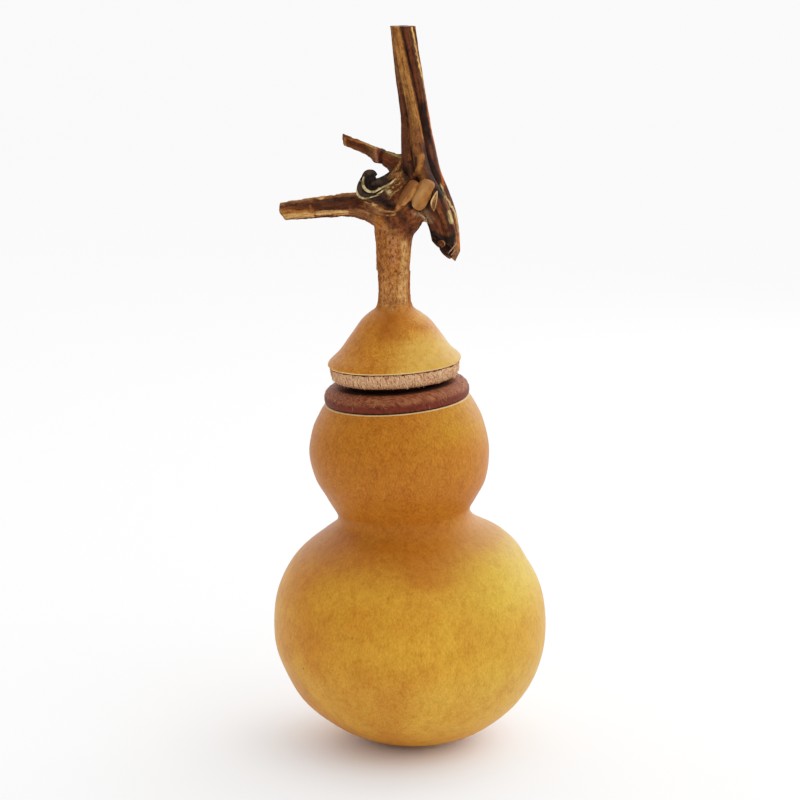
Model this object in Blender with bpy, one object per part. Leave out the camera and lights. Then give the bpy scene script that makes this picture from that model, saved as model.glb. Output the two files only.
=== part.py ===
"""A small dried bottle gourd made into a lidded jar, at its real size, in metres, +Z up.

The gourd is a hollow double bulb that stands on its blossom end. Its top is sawn off on a slant. A turned
collar of dark wood sits on the cut edge, and a turned plug of pale wood closes it. The sawn-off tip of the
gourd, with its stalk and the piece of vine that it grew on, stands on the plug as the lid.

The origin is under the middle of the lower bulb, at floor level. The front is towards -Y.
"""

import math

import bmesh
import bpy
from mathutils import Matrix, Vector

MM = 0.001

# The gourd's outline, from the resting spot to the sawn mouth, as (height, radius).
REST_SPOT_R = 7.0 * MM
MOUTH_Z = 88.6 * MM
MOUTH_R = 18.1 * MM
BULB_OUTLINE = [
    (0.0, REST_SPOT_R),
    (0.9 * MM, 12.1 * MM),
    (4.5 * MM, 20.2 * MM),
    (12.0 * MM, 28.7 * MM),
    (22.0 * MM, 33.6 * MM),
    (31.0 * MM, 34.6 * MM),
    (40.0 * MM, 33.1 * MM),
    (48.5 * MM, 28.4 * MM),
    (53.3 * MM, 23.3 * MM),
    (56.7 * MM, 18.2 * MM),
    (59.5 * MM, 17.0 * MM),
    (63.5 * MM, 19.0 * MM),
    (68.5 * MM, 21.6 * MM),
    (75.5 * MM, 22.7 * MM),
    (82.0 * MM, 21.5 * MM),
    (86.0 * MM, 19.7 * MM),
    (MOUTH_Z, MOUTH_R),
]
WALL = 3.0 * MM
MOUTH_INNER_R = 15.0 * MM
SCAR_R = 2.4 * MM
SCAR_DEPTH = 0.5 * MM

# How far the gourd's middle lies to the right at each height, and how its cut planes slant.
LEAN = [
    (0.0, 0.9 * MM),
    (14.0 * MM, 0.4 * MM),
    (28.0 * MM, -0.1 * MM),
    (45.5 * MM, -0.1 * MM),
    (53.0 * MM, 0.9 * MM),
    (61.5 * MM, -2.2 * MM),
    (88.0 * MM, -3.2 * MM),
    (97.5 * MM, -3.9 * MM),
    (106.0 * MM, -3.4 * MM),
    (114.0 * MM, -3.9 * MM),
    (130.0 * MM, -3.9 * MM),
]
SLANT_START_Z = 64.0 * MM
MOUTH_SLANT = (math.radians(0.7), math.radians(4.3))
LID_SLANT = (math.radians(-0.8), math.radians(3.3))

# The lid's tip of gourd, from its sawn rim to the foot of the stalk, as (height above the rim, radius).
RIM_Z = 97.6 * MM
RIM_R = 16.3 * MM
TIP_OUTLINE = [
    (0.0, RIM_R),
    (0.4 * MM, 16.65 * MM),
    (1.3 * MM, 16.3 * MM),
    (3.6 * MM, 13.9 * MM),
    (7.2 * MM, 11.3 * MM),
    (10.7 * MM, 8.7 * MM),
    (12.4 * MM, 6.8 * MM),
    (13.9 * MM, 4.8 * MM),
    (15.6 * MM, 4.1 * MM),
]
TIP_HOLLOW = [
    (0.0, 13.9 * MM),
    (2.2 * MM, 12.7 * MM),
    (5.2 * MM, 10.0 * MM),
    (8.0 * MM, 6.6 * MM),
    (9.6 * MM, 3.0 * MM),
]
TIP_HOLLOW_TOP = 10.0 * MM
TIP_SLANT_FADE = 10.0 * MM

# The stalk and the pieces of vine, as (x, y, z, radius) along each one's middle.
STALK_ROUTE = [
    (-4.00 * MM, 0.0, 116.0 * MM, 4.0 * MM),
    (-4.10 * MM, 0.0, 120.0 * MM, 4.1 * MM),
    (-4.00 * MM, 0.0, 124.0 * MM, 4.3 * MM),
    (-3.90 * MM, 0.0, 127.5 * MM, 4.5 * MM),
    (-3.55 * MM, 0.0, 130.6 * MM, 5.2 * MM),
    (-2.70 * MM, 0.0, 133.4 * MM, 6.4 * MM),
    (-1.40 * MM, 0.0, 137.5 * MM, 6.4 * MM),
    (0.0, 0.0, 141.0 * MM, 5.6 * MM),
    (1.20 * MM, 0.0, 144.0 * MM, 3.8 * MM),
]
VINE_ROUTE = [
    (9.10 * MM, -4.4 * MM, 120.5 * MM, 3.1 * MM),
    (8.90 * MM, -3.8 * MM, 126.0 * MM, 3.2 * MM),
    (8.45 * MM, -3.3 * MM, 130.8 * MM, 3.35 * MM),
    (7.20 * MM, -2.6 * MM, 135.3 * MM, 3.7 * MM),
    (5.00 * MM, -1.7 * MM, 139.9 * MM, 4.1 * MM),
    (2.80 * MM, -0.5 * MM, 144.8 * MM, 4.35 * MM),
    (1.90 * MM, 0.5 * MM, 151.5 * MM, 3.9 * MM),
    (1.40 * MM, 1.0 * MM, 157.3 * MM, 3.4 * MM),
    (0.70 * MM, 1.5 * MM, 163.1 * MM, 3.25 * MM),
    (-0.20 * MM, 2.0 * MM, 168.9 * MM, 3.2 * MM),
    (-1.10 * MM, 2.5 * MM, 174.6 * MM, 2.95 * MM),
    (-2.00 * MM, 3.0 * MM, 181.5 * MM, 2.85 * MM),
]
BRANCH_ROUTE = [
    (-34.00 * MM, -4.2 * MM, 135.8 * MM, 2.0 * MM),
    (-31.00 * MM, -4.0 * MM, 136.0 * MM, 2.2 * MM),
    (-26.90 * MM, -3.5 * MM, 136.4 * MM, 2.4 * MM),
    (-20.80 * MM, -2.9 * MM, 136.9 * MM, 2.6 * MM),
    (-14.70 * MM, -2.0 * MM, 137.3 * MM, 2.9 * MM),
    (-10.20 * MM, -1.2 * MM, 136.7 * MM, 3.7 * MM),
    (-6.00 * MM, -0.5 * MM, 135.6 * MM, 4.7 * MM),
    (-1.50 * MM, 0.0, 135.5 * MM, 4.3 * MM),
]
TWIG_ROUTE = [
    (-18.50 * MM, 6.5 * MM, 153.35 * MM, 1.3 * MM),
    (-16.00 * MM, 5.9 * MM, 152.35 * MM, 1.3 * MM),
    (-12.40 * MM, 5.0 * MM, 150.95 * MM, 1.4 * MM),
    (-9.00 * MM, 4.1 * MM, 149.5 * MM, 1.55 * MM),
    (-7.70 * MM, 3.7 * MM, 148.8 * MM, 2.05 * MM),
    (-6.70 * MM, 3.4 * MM, 148.4 * MM, 1.8 * MM),
    (-5.00 * MM, 2.8 * MM, 147.8 * MM, 2.1 * MM),
    (-2.50 * MM, 1.8 * MM, 146.4 * MM, 2.8 * MM),
    (0.80 * MM, 0.6 * MM, 144.8 * MM, 3.0 * MM),
]
CURL_ROUTE = [
    (-1.20 * MM, -2.4 * MM, 143.2 * MM, 2.6 * MM),
    (-3.90 * MM, -3.6 * MM, 142.5 * MM, 2.5 * MM),
    (-6.40 * MM, -4.5 * MM, 141.3 * MM, 2.3 * MM),
    (-8.70 * MM, -5.2 * MM, 140.5 * MM, 2.3 * MM),
    (-10.60 * MM, -5.6 * MM, 141.1 * MM, 2.2 * MM),
    (-10.90 * MM, -5.6 * MM, 142.8 * MM, 1.8 * MM),
    (-10.00 * MM, -5.6 * MM, 144.3 * MM, 1.6 * MM),
    (-8.40 * MM, -5.6 * MM, 144.9 * MM, 1.4 * MM),
]
RIBS = 5
VINE_RIB_DEPTH = 0.13
VINE_TWIST = math.radians(110.0)
BRANCH_RIB_DEPTH = 0.08
STALK_RIB_DEPTH = 0.04

# Where the vine, the branch and the twig are cut, as a point on the cut and the way out of the wood.
VINE_TOP_CUT = (Vector((0.0, 0.0, 180.4 * MM)), Vector((0.0, 0.0, 1.0)))
VINE_FOOT_CUT = (Vector((7.80 * MM, -3.7 * MM, 127.5 * MM)), Vector((-0.56, -0.50, -0.66)))
BRANCH_CUT = (Vector((-31.9 * MM, -4.0 * MM, 136.0 * MM)), Vector((-1.0, 0.0, 0.05)))
TWIG_CUT = (Vector((-16.6 * MM, 6.0 * MM, 152.6 * MM)), Vector((-1.0, 0.0, 0.0)))
PITH_SHARE = 0.66
PITH_DEPTH = 2.4 * MM

# Lumps round the joint, as (middle, half sizes, turn about Y, turn about Z).
LUMPS = [
    ((-0.6 * MM, -5.2 * MM, 140.6 * MM), (1.7 * MM, 1.5 * MM, 3.5 * MM), math.radians(38.0), 0.0),
    ((2.9 * MM, -5.4 * MM, 140.7 * MM), (2.15 * MM, 1.7 * MM, 4.0 * MM), math.radians(30.0), 0.0),
    ((-7.4 * MM, -2.8 * MM, 138.4 * MM), (4.4 * MM, 3.4 * MM, 3.4 * MM), math.radians(-12.0), math.radians(20.0)),
    ((1.5 * MM, 3.4 * MM, 138.5 * MM), (4.8 * MM, 3.6 * MM, 5.2 * MM), math.radians(15.0), 0.0),
]

# The collar, turned in dark wood, as (radius, height above the mouth). Its foot is just clear of the cut edge.
FIT_GAP = 0.3 * MM
COLLAR_BORE_R = 11.5 * MM
COLLAR_SLEEVE_R = 14.4 * MM
COLLAR_SLEEVE_LENGTH = 7.5 * MM
COLLAR_CROWN = [
    (18.15 * MM, FIT_GAP),
    (18.45 * MM, 1.0 * MM),
    (18.3 * MM, 2.0 * MM),
    (17.7 * MM, 3.0 * MM),
    (16.5 * MM, 3.8 * MM),
    (14.9 * MM, 4.2 * MM),
    (12.3 * MM, 4.3 * MM),
]
COLLAR_BORE_EASE = 0.8 * MM

# The plug, turned in pale wood, as (radius, height above its underside). Its top is just clear of the lid's rim.
PLUG_UNDERSIDE_BELOW_RIM = 4.2 * MM
PLUG_PIN_R = 11.0 * MM
PLUG_PIN_LENGTH = 6.0 * MM
PLUG_PIN_EASE = 0.8 * MM
PLUG_SPIGOT_R = 12.0 * MM
PLUG_SPIGOT_HEIGHT = 1.4 * MM
PLUG_TOP = PLUG_UNDERSIDE_BELOW_RIM - FIT_GAP
PLUG_EDGE = [
    (14.3 * MM, 0.0),
    (15.3 * MM, 0.5 * MM),
    (15.9 * MM, 1.5 * MM),
    (16.25 * MM, PLUG_TOP),
]

BULB_SIDES = 48
TIP_SIDES = 40
TURNED_SIDES = 48
VINE_SIDES = 20
BRANCH_SIDES = 15
TWIG_SIDES = 10

SKIN = (0.62, 0.36, 0.09)
BARK = (0.24, 0.13, 0.06)
DARK_WOOD = (0.17, 0.07, 0.045)
PALE_WOOD = (0.55, 0.34, 0.22)


def clear_scene():
    for old in list(bpy.data.objects):
        bpy.data.objects.remove(old, do_unlink=True)


def wood_or_skin(name, colour, roughness):
    """A plain surface with the piece's own colour."""
    material = bpy.data.materials.new(name)
    material.use_nodes = True
    shader = material.node_tree.nodes["Principled BSDF"]
    shader.inputs["Base Color"].default_value = (*colour, 1.0)
    shader.inputs["Roughness"].default_value = roughness
    shader.inputs["Metallic"].default_value = 0.0
    return material


def smooth_through(knots, count):
    """count places spaced along one smooth curve that passes through the knots, which hold any numbers each."""
    knots = [Vector(knot) for knot in knots]
    times = [0.0]
    for before, after in zip(knots, knots[1:]):
        times.append(times[-1] + math.sqrt((after - before).length))
    slopes = []
    for index in range(len(knots)):
        low, high = max(index - 1, 0), min(index + 1, len(knots) - 1)
        slopes.append((knots[high] - knots[low]) / (times[high] - times[low]))
    places = []
    span = 0
    for step in range(count):
        time = times[-1] * step / (count - 1)
        while span < len(knots) - 2 and time > times[span + 1]:
            span += 1
        length = times[span + 1] - times[span]
        share = (time - times[span]) / length
        squared, cubed = share**2, share**3
        places.append(
            knots[span] * (2 * cubed - 3 * squared + 1)
            + slopes[span] * (length * (cubed - 2 * squared + share))
            + knots[span + 1] * (3 * squared - 2 * cubed)
            + slopes[span + 1] * (length * (cubed - squared))
        )
    return places


def ease(share):
    """0 to 1, starting and ending gently."""
    share = min(max(share, 0.0), 1.0)
    return share * share * (3 - 2 * share)


def lean_at(z):
    """How far to the right the gourd's middle lies at this height."""
    for (low, x_low), (high, x_high) in zip(LEAN, LEAN[1:]):
        if z <= high:
            return x_low + (x_high - x_low) * ease((z - low) / (high - low))
    return LEAN[-1][1]


def slanted(slant, share=1.0):
    """The turn of a plane whose front falls and whose right side rises by the slant's two angles."""
    front, side = slant
    return Matrix.Rotation(front * share, 3, "X") @ Matrix.Rotation(-side * share, 3, "Y")


def out_of_round(z, angle):
    """A grown gourd isn't quite round: this is the radius's share at a place on its side."""
    share = math.sin(math.pi * min(max(z / MOUTH_Z, 0.0), 1.0))
    return 1.0 + share * (0.006 * math.cos(2 * angle + 0.9) + 0.004 * math.cos(3 * angle - 0.5))


def circle(centre, turn, radius, sides, share=None):
    """The points of one ring. share(angle) changes the radius round it."""
    points = []
    for side in range(sides):
        angle = 2 * math.pi * side / sides
        reach = radius * (share(angle) if share else 1.0)
        points.append(centre + turn @ Vector((reach * math.cos(angle), reach * math.sin(angle), 0.0)))
    return points


def skin_rings(name, rings, closed=False, low_pole=None, high_pole=None):
    """A mesh object through rings of equally many points. It is closed on itself, or at two poles."""
    mesh_work = bmesh.new()
    rows = [[mesh_work.verts.new(point) for point in ring] for ring in rings]
    sides = len(rows[0])
    pairs = list(zip(rows, rows[1:]))
    if closed:
        pairs.append((rows[-1], rows[0]))
    for low, high in pairs:
        for side in range(sides):
            after = (side + 1) % sides
            mesh_work.faces.new((low[side], low[after], high[after], high[side]))
    for row, pole, turned in ((rows[0], low_pole, True), (rows[-1], high_pole, False)):
        if pole is None:
            continue
        tip = mesh_work.verts.new(pole)
        for side in range(sides):
            after = (side + 1) % sides
            corners = (row[after], row[side], tip) if turned else (row[side], row[after], tip)
            mesh_work.faces.new(corners)
    bmesh.ops.recalc_face_normals(mesh_work, faces=mesh_work.faces)
    return finished_object(name, mesh_work)


def finished_object(name, mesh_work):
    mesh = bpy.data.meshes.new(name)
    mesh_work.to_mesh(mesh)
    mesh_work.free()
    made = bpy.data.objects.new(name, mesh)
    bpy.context.scene.collection.objects.link(made)
    return made


def dress(made, material, sharp_degrees=35.0):
    """Gives a piece its material and smooth shading, with its real edges left sharp."""
    made.data.materials.clear()
    made.data.materials.append(material)
    made.data.shade_smooth()
    made.data.set_sharp_from_angle(angle=math.radians(sharp_degrees))
    return made


def grown_ring(z, radius, slant, share, sides):
    """A ring of the gourd at this height, on its leaning middle, with its plane slanted by a share of the slant."""
    centre = Vector((lean_at(z), 0.0, z))
    return circle(centre, slanted(slant, share), radius, sides, lambda angle: out_of_round(z, angle))


def mouth_share(z):
    """How much of the mouth's slant a ring at this height has."""
    return ease((z - SLANT_START_Z) / (MOUTH_Z - SLANT_START_Z))


def gourd_body():
    """The hollow double bulb, from its blossom scar to the sawn mouth."""
    outline = smooth_through(BULB_OUTLINE, 31)
    rings = [
        grown_ring(SCAR_DEPTH, SCAR_R * 0.6, MOUTH_SLANT, 0.0, BULB_SIDES),
        grown_ring(0.0, SCAR_R, MOUTH_SLANT, 0.0, BULB_SIDES),
    ]
    for z, radius in outline:
        rings.append(grown_ring(z, radius, MOUTH_SLANT, mouth_share(z), BULB_SIDES))
    rings.append(grown_ring(MOUTH_Z, MOUTH_INNER_R, MOUTH_SLANT, 1.0, BULB_SIDES))
    for before, place, after in reversed(list(zip(outline, outline[1:], outline[2:]))[::2]):
        along = (after - before).normalized()
        z = place[0] + WALL * along[1]
        radius = place[1] - WALL * along[0]
        if z < MOUTH_Z - WALL / 2:
            rings.append(grown_ring(z, radius, MOUTH_SLANT, mouth_share(z), BULB_SIDES))
    return skin_rings(
        "gourd_body",
        rings,
        low_pole=Vector((lean_at(SCAR_DEPTH), 0.0, SCAR_DEPTH)),
        high_pole=Vector((lean_at(WALL), 0.0, WALL)),
    )


def turned_ring(name, outline):
    """A turned ring from its closed outline of (radius, height)."""
    level = Matrix.Identity(3)
    rings = [circle(Vector((0.0, 0.0, z)), level, radius, TURNED_SIDES) for radius, z in outline]
    return skin_rings(name, rings, closed=True)


def mouth_collar():
    """The dark collar: a crown on the cut edge, and a sleeve down inside the mouth."""
    crown = [tuple(place) for place in smooth_through(COLLAR_CROWN, 11)]
    top = COLLAR_CROWN[-1][1]
    outline = [
        (COLLAR_SLEEVE_R, -COLLAR_SLEEVE_LENGTH),
        (COLLAR_SLEEVE_R, FIT_GAP),
        *crown,
        (COLLAR_BORE_R, top - COLLAR_BORE_EASE),
        (COLLAR_BORE_R, -COLLAR_SLEEVE_LENGTH),
    ]
    made = turned_ring("mouth_collar", outline)
    made.matrix_world = Matrix.Translation((lean_at(MOUTH_Z), 0.0, MOUTH_Z)) @ slanted(MOUTH_SLANT).to_4x4()
    return made


def lid_plug():
    """The pale plug: a pin in the collar's bore, a flange under the lid's rim and a low spigot inside the rim."""
    edge = [tuple(place) for place in smooth_through(PLUG_EDGE, 7)]
    outline = [
        (PLUG_PIN_R - PLUG_PIN_EASE, -PLUG_PIN_LENGTH),
        (PLUG_PIN_R, PLUG_PIN_EASE - PLUG_PIN_LENGTH),
        (PLUG_PIN_R, 0.0),
        *edge,
        (PLUG_SPIGOT_R, PLUG_TOP),
        (PLUG_SPIGOT_R, PLUG_TOP + PLUG_SPIGOT_HEIGHT),
    ]
    level = Matrix.Identity(3)
    rings = [circle(Vector((0.0, 0.0, z)), level, radius, TURNED_SIDES) for radius, z in outline]
    made = skin_rings(
        "lid_plug",
        rings,
        low_pole=Vector((0.0, 0.0, -PLUG_PIN_LENGTH)),
        high_pole=Vector((0.0, 0.0, PLUG_TOP + PLUG_SPIGOT_HEIGHT)),
    )
    turn = slanted(LID_SLANT)
    rim_middle = Vector((lean_at(RIM_Z), 0.0, RIM_Z))
    place = rim_middle + turn @ Vector((0.0, 0.0, -PLUG_UNDERSIDE_BELOW_RIM))
    made.matrix_world = Matrix.Translation(place) @ turn.to_4x4()
    return made


def lid_share(height):
    """How much of the lid's slant a ring at this height above the rim has."""
    return 1.0 - ease(height / TIP_SLANT_FADE)


def ribbed(count, depth, turn=0.0):
    """The radius's share round a ribbed stem: rounded ribs with narrower grooves between them."""

    def share(angle):
        wave = math.cos(count * (angle - turn))
        return 1.0 + depth * (wave - 0.35 * wave * wave)

    return share


def gourd_tip():
    """The lid's hollow tip of gourd, running up into the stalk."""
    rings = []
    for height, radius in reversed(smooth_through(TIP_HOLLOW, 7)):
        rings.append(grown_ring(RIM_Z + height, radius, LID_SLANT, lid_share(height), TIP_SIDES))
    for height, radius in smooth_through(TIP_OUTLINE, 16):
        rings.append(grown_ring(RIM_Z + height, radius, LID_SLANT, lid_share(height), TIP_SIDES))
    level = Matrix.Identity(3)
    for x, y, z, radius in smooth_through(STALK_ROUTE, 14):
        rings.append(circle(Vector((x, y, z)), level, radius, TIP_SIDES, ribbed(RIBS, STALK_RIB_DEPTH)))
    crown = Vector(STALK_ROUTE[-1][:3]) + Vector((0.0, 0.0, STALK_ROUTE[-1][3] / 2))
    return skin_rings(
        "gourd_tip",
        rings,
        low_pole=Vector((lean_at(RIM_Z), 0.0, RIM_Z + TIP_HOLLOW_TOP)),
        high_pole=crown,
    )


def stem_along(name, route, count, sides, rib_depth, twist=0.0):
    """A ribbed stem along a smooth route of (x, y, z, radius), closed at both ends."""
    places = smooth_through(route, count)
    middles = [Vector(place[:3]) for place in places]
    rings = []
    side_way = Vector((0.0, 1.0, 0.0))
    for index, place in enumerate(places):
        along = middles[min(index + 1, count - 1)] - middles[max(index - 1, 0)]
        along.normalize()
        side_way = (side_way - along * side_way.dot(along)).normalized()
        turn = Matrix((along.cross(side_way), side_way, along)).transposed()
        share = ribbed(RIBS, rib_depth, twist * index / (count - 1))
        rings.append(circle(middles[index], turn, place[3], sides, share))
    return skin_rings(name, rings, low_pole=middles[0], high_pole=middles[-1])


def cut_off(made, cut, pith_way=None):
    """Cuts a stem off square to the cut's way out, and sinks the pith of a hollow one along the stem."""
    point, way_out = cut
    mesh_work = bmesh.new()
    mesh_work.from_mesh(made.data)
    everything = mesh_work.verts[:] + mesh_work.edges[:] + mesh_work.faces[:]
    cut_through = bmesh.ops.bisect_plane(
        mesh_work, geom=everything, plane_co=point, plane_no=way_out, clear_outer=True
    )
    edges = [item for item in cut_through["geom_cut"] if isinstance(item, bmesh.types.BMEdge)]
    face = bmesh.ops.contextual_create(mesh_work, geom=edges)["faces"][0]
    if pith_way:
        pith = bmesh.ops.extrude_discrete_faces(mesh_work, faces=[face])["faces"][0]
        middle = pith.calc_center_median()
        for vertex in pith.verts:
            vertex.co = middle.lerp(vertex.co, PITH_SHARE)
        pith = bmesh.ops.extrude_discrete_faces(mesh_work, faces=[pith])["faces"][0]
        bmesh.ops.translate(mesh_work, verts=pith.verts, vec=pith_way.normalized() * PITH_DEPTH)
    bmesh.ops.recalc_face_normals(mesh_work, faces=mesh_work.faces)
    mesh_work.to_mesh(made.data)
    mesh_work.free()
    return made


def lump(name, middle, half_sizes, turn_y, turn_z):
    """A rounded lump: a cut shoot's pad or a swelling of the joint."""
    mesh_work = bmesh.new()
    bmesh.ops.create_uvsphere(mesh_work, u_segments=12, v_segments=8, radius=1.0)
    made = finished_object(name, mesh_work)
    turn = Matrix.Rotation(turn_z, 4, "Z") @ Matrix.Rotation(turn_y, 4, "Y")
    made.data.transform(Matrix.Translation(middle) @ turn @ Matrix.Diagonal((*half_sizes, 1.0)))
    return made


def joined(base, others):
    """base made one body with the others, which are then removed."""
    tools = bpy.data.collections.new("grown_together")
    for other in others:
        tools.objects.link(other)
    modifier = base.modifiers.new("grown_together", "BOOLEAN")
    modifier.operation = "UNION"
    modifier.solver = "EXACT"
    modifier.operand_type = "COLLECTION"
    modifier.collection = tools
    bpy.context.view_layer.update()
    graph = bpy.context.evaluated_depsgraph_get()
    whole = bpy.data.meshes.new_from_object(base.evaluated_get(graph))
    base.modifiers.clear()
    base.data = whole
    for other in others:
        bpy.data.objects.remove(other, do_unlink=True)
    bpy.data.collections.remove(tools)
    return base


def gourd_lid():
    """The tip of gourd with its stalk and vine, all grown as one piece."""
    tip = gourd_tip()
    vine = stem_along("vine", VINE_ROUTE, 30, VINE_SIDES, VINE_RIB_DEPTH, VINE_TWIST)
    cut_off(vine, VINE_TOP_CUT)
    cut_off(vine, VINE_FOOT_CUT, pith_way=Vector(VINE_ROUTE[2][:3]) - Vector(VINE_ROUTE[1][:3]))
    branch = cut_off(stem_along("branch", BRANCH_ROUTE, 16, BRANCH_SIDES, BRANCH_RIB_DEPTH), BRANCH_CUT)
    twig = cut_off(stem_along("twig", TWIG_ROUTE, 17, TWIG_SIDES, 0.0), TWIG_CUT)
    curl = stem_along("curl", CURL_ROUTE, 16, TWIG_SIDES, 0.0)
    lumps = [lump(f"lump_{index}", *facts) for index, facts in enumerate(LUMPS)]
    lid = joined(tip, [vine, branch, twig, curl, *lumps])
    lid.name = "gourd_lid"
    return lid


def main():
    clear_scene()
    dress(gourd_body(), wood_or_skin("gourd_skin", SKIN, 0.42))
    dress(mouth_collar(), wood_or_skin("dark_wood", DARK_WOOD, 0.6))
    dress(lid_plug(), wood_or_skin("pale_wood", PALE_WOOD, 0.7))
    lid = dress(gourd_lid(), wood_or_skin("lid_skin", SKIN, 0.45))
    lid.data.materials.append(wood_or_skin("vine_bark", BARK, 0.8))
    stalk_foot = RIM_Z + TIP_OUTLINE[-1][0]
    for face in lid.data.polygons:
        if face.center.z > stalk_foot:
            face.material_index = 1


main()
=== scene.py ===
"""A dried bottle gourd made into a lidded jar: its visible pieces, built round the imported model.

The gourd's hollow double bulb stands on its blossom end. A turned collar of dark wood sits on its sawn
mouth, and a turned plug of pale wood closes it. The sawn-off tip of the gourd stands on the plug as the lid,
with its stalk and the piece of vine that it grew on. Everything is in metres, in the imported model's own frame.
"""

import math
import random

import bmesh
import bpy
import numpy as np
from mathutils import Matrix, Vector, noise


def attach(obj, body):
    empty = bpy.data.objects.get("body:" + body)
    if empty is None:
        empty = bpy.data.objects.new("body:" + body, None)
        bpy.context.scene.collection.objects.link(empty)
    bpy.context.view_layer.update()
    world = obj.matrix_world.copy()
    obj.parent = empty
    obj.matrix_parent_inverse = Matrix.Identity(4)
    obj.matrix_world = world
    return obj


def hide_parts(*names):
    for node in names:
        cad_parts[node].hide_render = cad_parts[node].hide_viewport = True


bl_info = {
    "name": "Lidded Gourd Jar",
    "version": (1, 0, 0),
    "blender": (4, 5, 0),
    "location": "View3D > Sidebar > Gourd Jar",
    "description": "Builds a dried bottle gourd jar with its turned collar, plug and vine-topped lid",
    "category": "Object",
}

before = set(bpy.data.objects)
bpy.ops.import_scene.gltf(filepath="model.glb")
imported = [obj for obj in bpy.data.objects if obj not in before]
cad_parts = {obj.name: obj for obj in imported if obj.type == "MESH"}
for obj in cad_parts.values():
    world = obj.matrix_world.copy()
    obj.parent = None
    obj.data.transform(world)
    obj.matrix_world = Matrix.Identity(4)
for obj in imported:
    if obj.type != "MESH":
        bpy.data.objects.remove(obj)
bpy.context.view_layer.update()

MM = 0.001

# The gourd's outline, from the resting spot to the sawn mouth, as (height, radius) in millimetres.
REST_SPOT_R = 7.0
MOUTH_Z = 88.6
MOUTH_R = 18.1
BULB_OUTLINE = [
    (0.0, REST_SPOT_R),
    (0.9, 12.1),
    (4.5, 20.2),
    (12.0, 28.7),
    (22.0, 33.6),
    (31.0, 34.6),
    (40.0, 33.1),
    (48.5, 28.4),
    (53.3, 23.3),
    (56.7, 18.2),
    (59.5, 17.0),
    (63.5, 19.0),
    (68.5, 21.6),
    (75.5, 22.7),
    (82.0, 21.5),
    (86.0, 19.7),
    (MOUTH_Z, MOUTH_R),
]
WALL = 3.0
MOUTH_INNER_R = 15.0
SCAR_DEPTH = 0.5

# How far the gourd's middle lies to the right at each height, and how its cut planes slant.
LEAN = [
    (0.0, 0.9),
    (14.0, 0.4),
    (28.0, -0.1),
    (45.5, -0.1),
    (53.0, 0.9),
    (61.5, -2.2),
    (88.0, -3.2),
    (97.5, -3.9),
    (106.0, -3.4),
    (114.0, -3.9),
    (130.0, -3.9),
]
SLANT_START_Z = 64.0
MOUTH_SLANT = (math.radians(0.7), math.radians(4.3))
LID_SLANT = (math.radians(-0.8), math.radians(3.3))

# The lid's tip of gourd, as (height above the rim, radius), outside and inside.
RIM_Z = 97.6
TIP_OUTLINE = [
    (0.0, 16.3),
    (0.4, 16.65),
    (1.3, 16.3),
    (3.6, 13.9),
    (7.2, 11.3),
    (10.7, 8.7),
    (12.4, 6.8),
    (13.9, 4.8),
    (15.6, 4.1),
]
TIP_HOLLOW = [
    (0.0, 13.9),
    (2.2, 12.7),
    (5.2, 10.0),
    (8.0, 6.6),
    (9.6, 3.0),
]
TIP_HOLLOW_TOP = 10.0
TIP_SLANT_FADE = 10.0

# The stalk and the pieces of vine, as (x, y, z, radius) along each one's middle.
STALK_ROUTE = [
    (-4.00, 0.0, 116.0, 4.0),
    (-4.10, 0.0, 120.0, 4.1),
    (-4.00, 0.0, 124.0, 4.3),
    (-3.90, 0.0, 127.5, 4.5),
    (-3.75, 0.0, 130.6, 5.0),
    (-3.10, 0.0, 133.4, 6.0),
    (-1.60, 0.0, 137.5, 6.2),
    (0.0, 0.0, 141.0, 5.6),
    (1.20, 0.0, 144.0, 3.8),
]
VINE_ROUTE = [
    (9.10, -4.4, 120.5, 3.1),
    (8.90, -3.8, 126.0, 3.2),
    (8.45, -3.3, 130.8, 3.35),
    (7.20, -2.6, 135.3, 3.7),
    (5.00, -1.7, 139.9, 4.1),
    (2.80, -0.5, 144.8, 4.35),
    (1.90, 0.5, 151.5, 3.9),
    (1.40, 1.0, 157.3, 3.4),
    (0.70, 1.5, 163.1, 3.25),
    (-0.20, 2.0, 168.9, 3.2),
    (-1.10, 2.5, 174.6, 2.95),
    (-2.00, 3.0, 181.5, 2.85),
]
BRANCH_ROUTE = [
    (-34.00, -4.2, 135.8, 2.0),
    (-31.00, -4.0, 136.0, 2.2),
    (-26.90, -3.5, 136.4, 2.4),
    (-20.80, -2.9, 136.9, 2.6),
    (-14.70, -2.0, 137.3, 2.9),
    (-10.20, -1.2, 136.7, 3.7),
    (-6.00, -0.5, 135.6, 4.7),
    (-1.50, 0.0, 135.5, 4.3),
]
TWIG_ROUTE = [
    (-18.50, 6.5, 153.35, 1.3),
    (-16.00, 5.9, 152.35, 1.3),
    (-12.40, 5.0, 150.95, 1.4),
    (-9.00, 4.1, 149.5, 1.55),
    (-7.70, 3.7, 148.8, 2.05),
    (-6.70, 3.4, 148.4, 1.8),
    (-5.00, 2.8, 147.8, 2.1),
    (-2.50, 1.8, 146.4, 2.8),
    (0.80, 0.6, 144.8, 3.0),
]
CURL_ROUTE = [
    (-1.20, -2.4, 143.2, 2.6),
    (-3.90, -3.6, 142.5, 2.5),
    (-6.40, -4.5, 141.3, 2.3),
    (-8.70, -5.2, 140.5, 2.3),
    (-10.60, -5.6, 141.1, 2.2),
    (-10.90, -5.6, 142.8, 1.8),
    (-10.00, -5.6, 144.3, 1.6),
    (-8.40, -5.6, 144.9, 1.4),
]
RIBS = 5
STALK_RIB_DEPTH = 0.04
BRANCH_RIB_DEPTH = 0.08
VINE_RIB_DEPTH = 0.13

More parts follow.
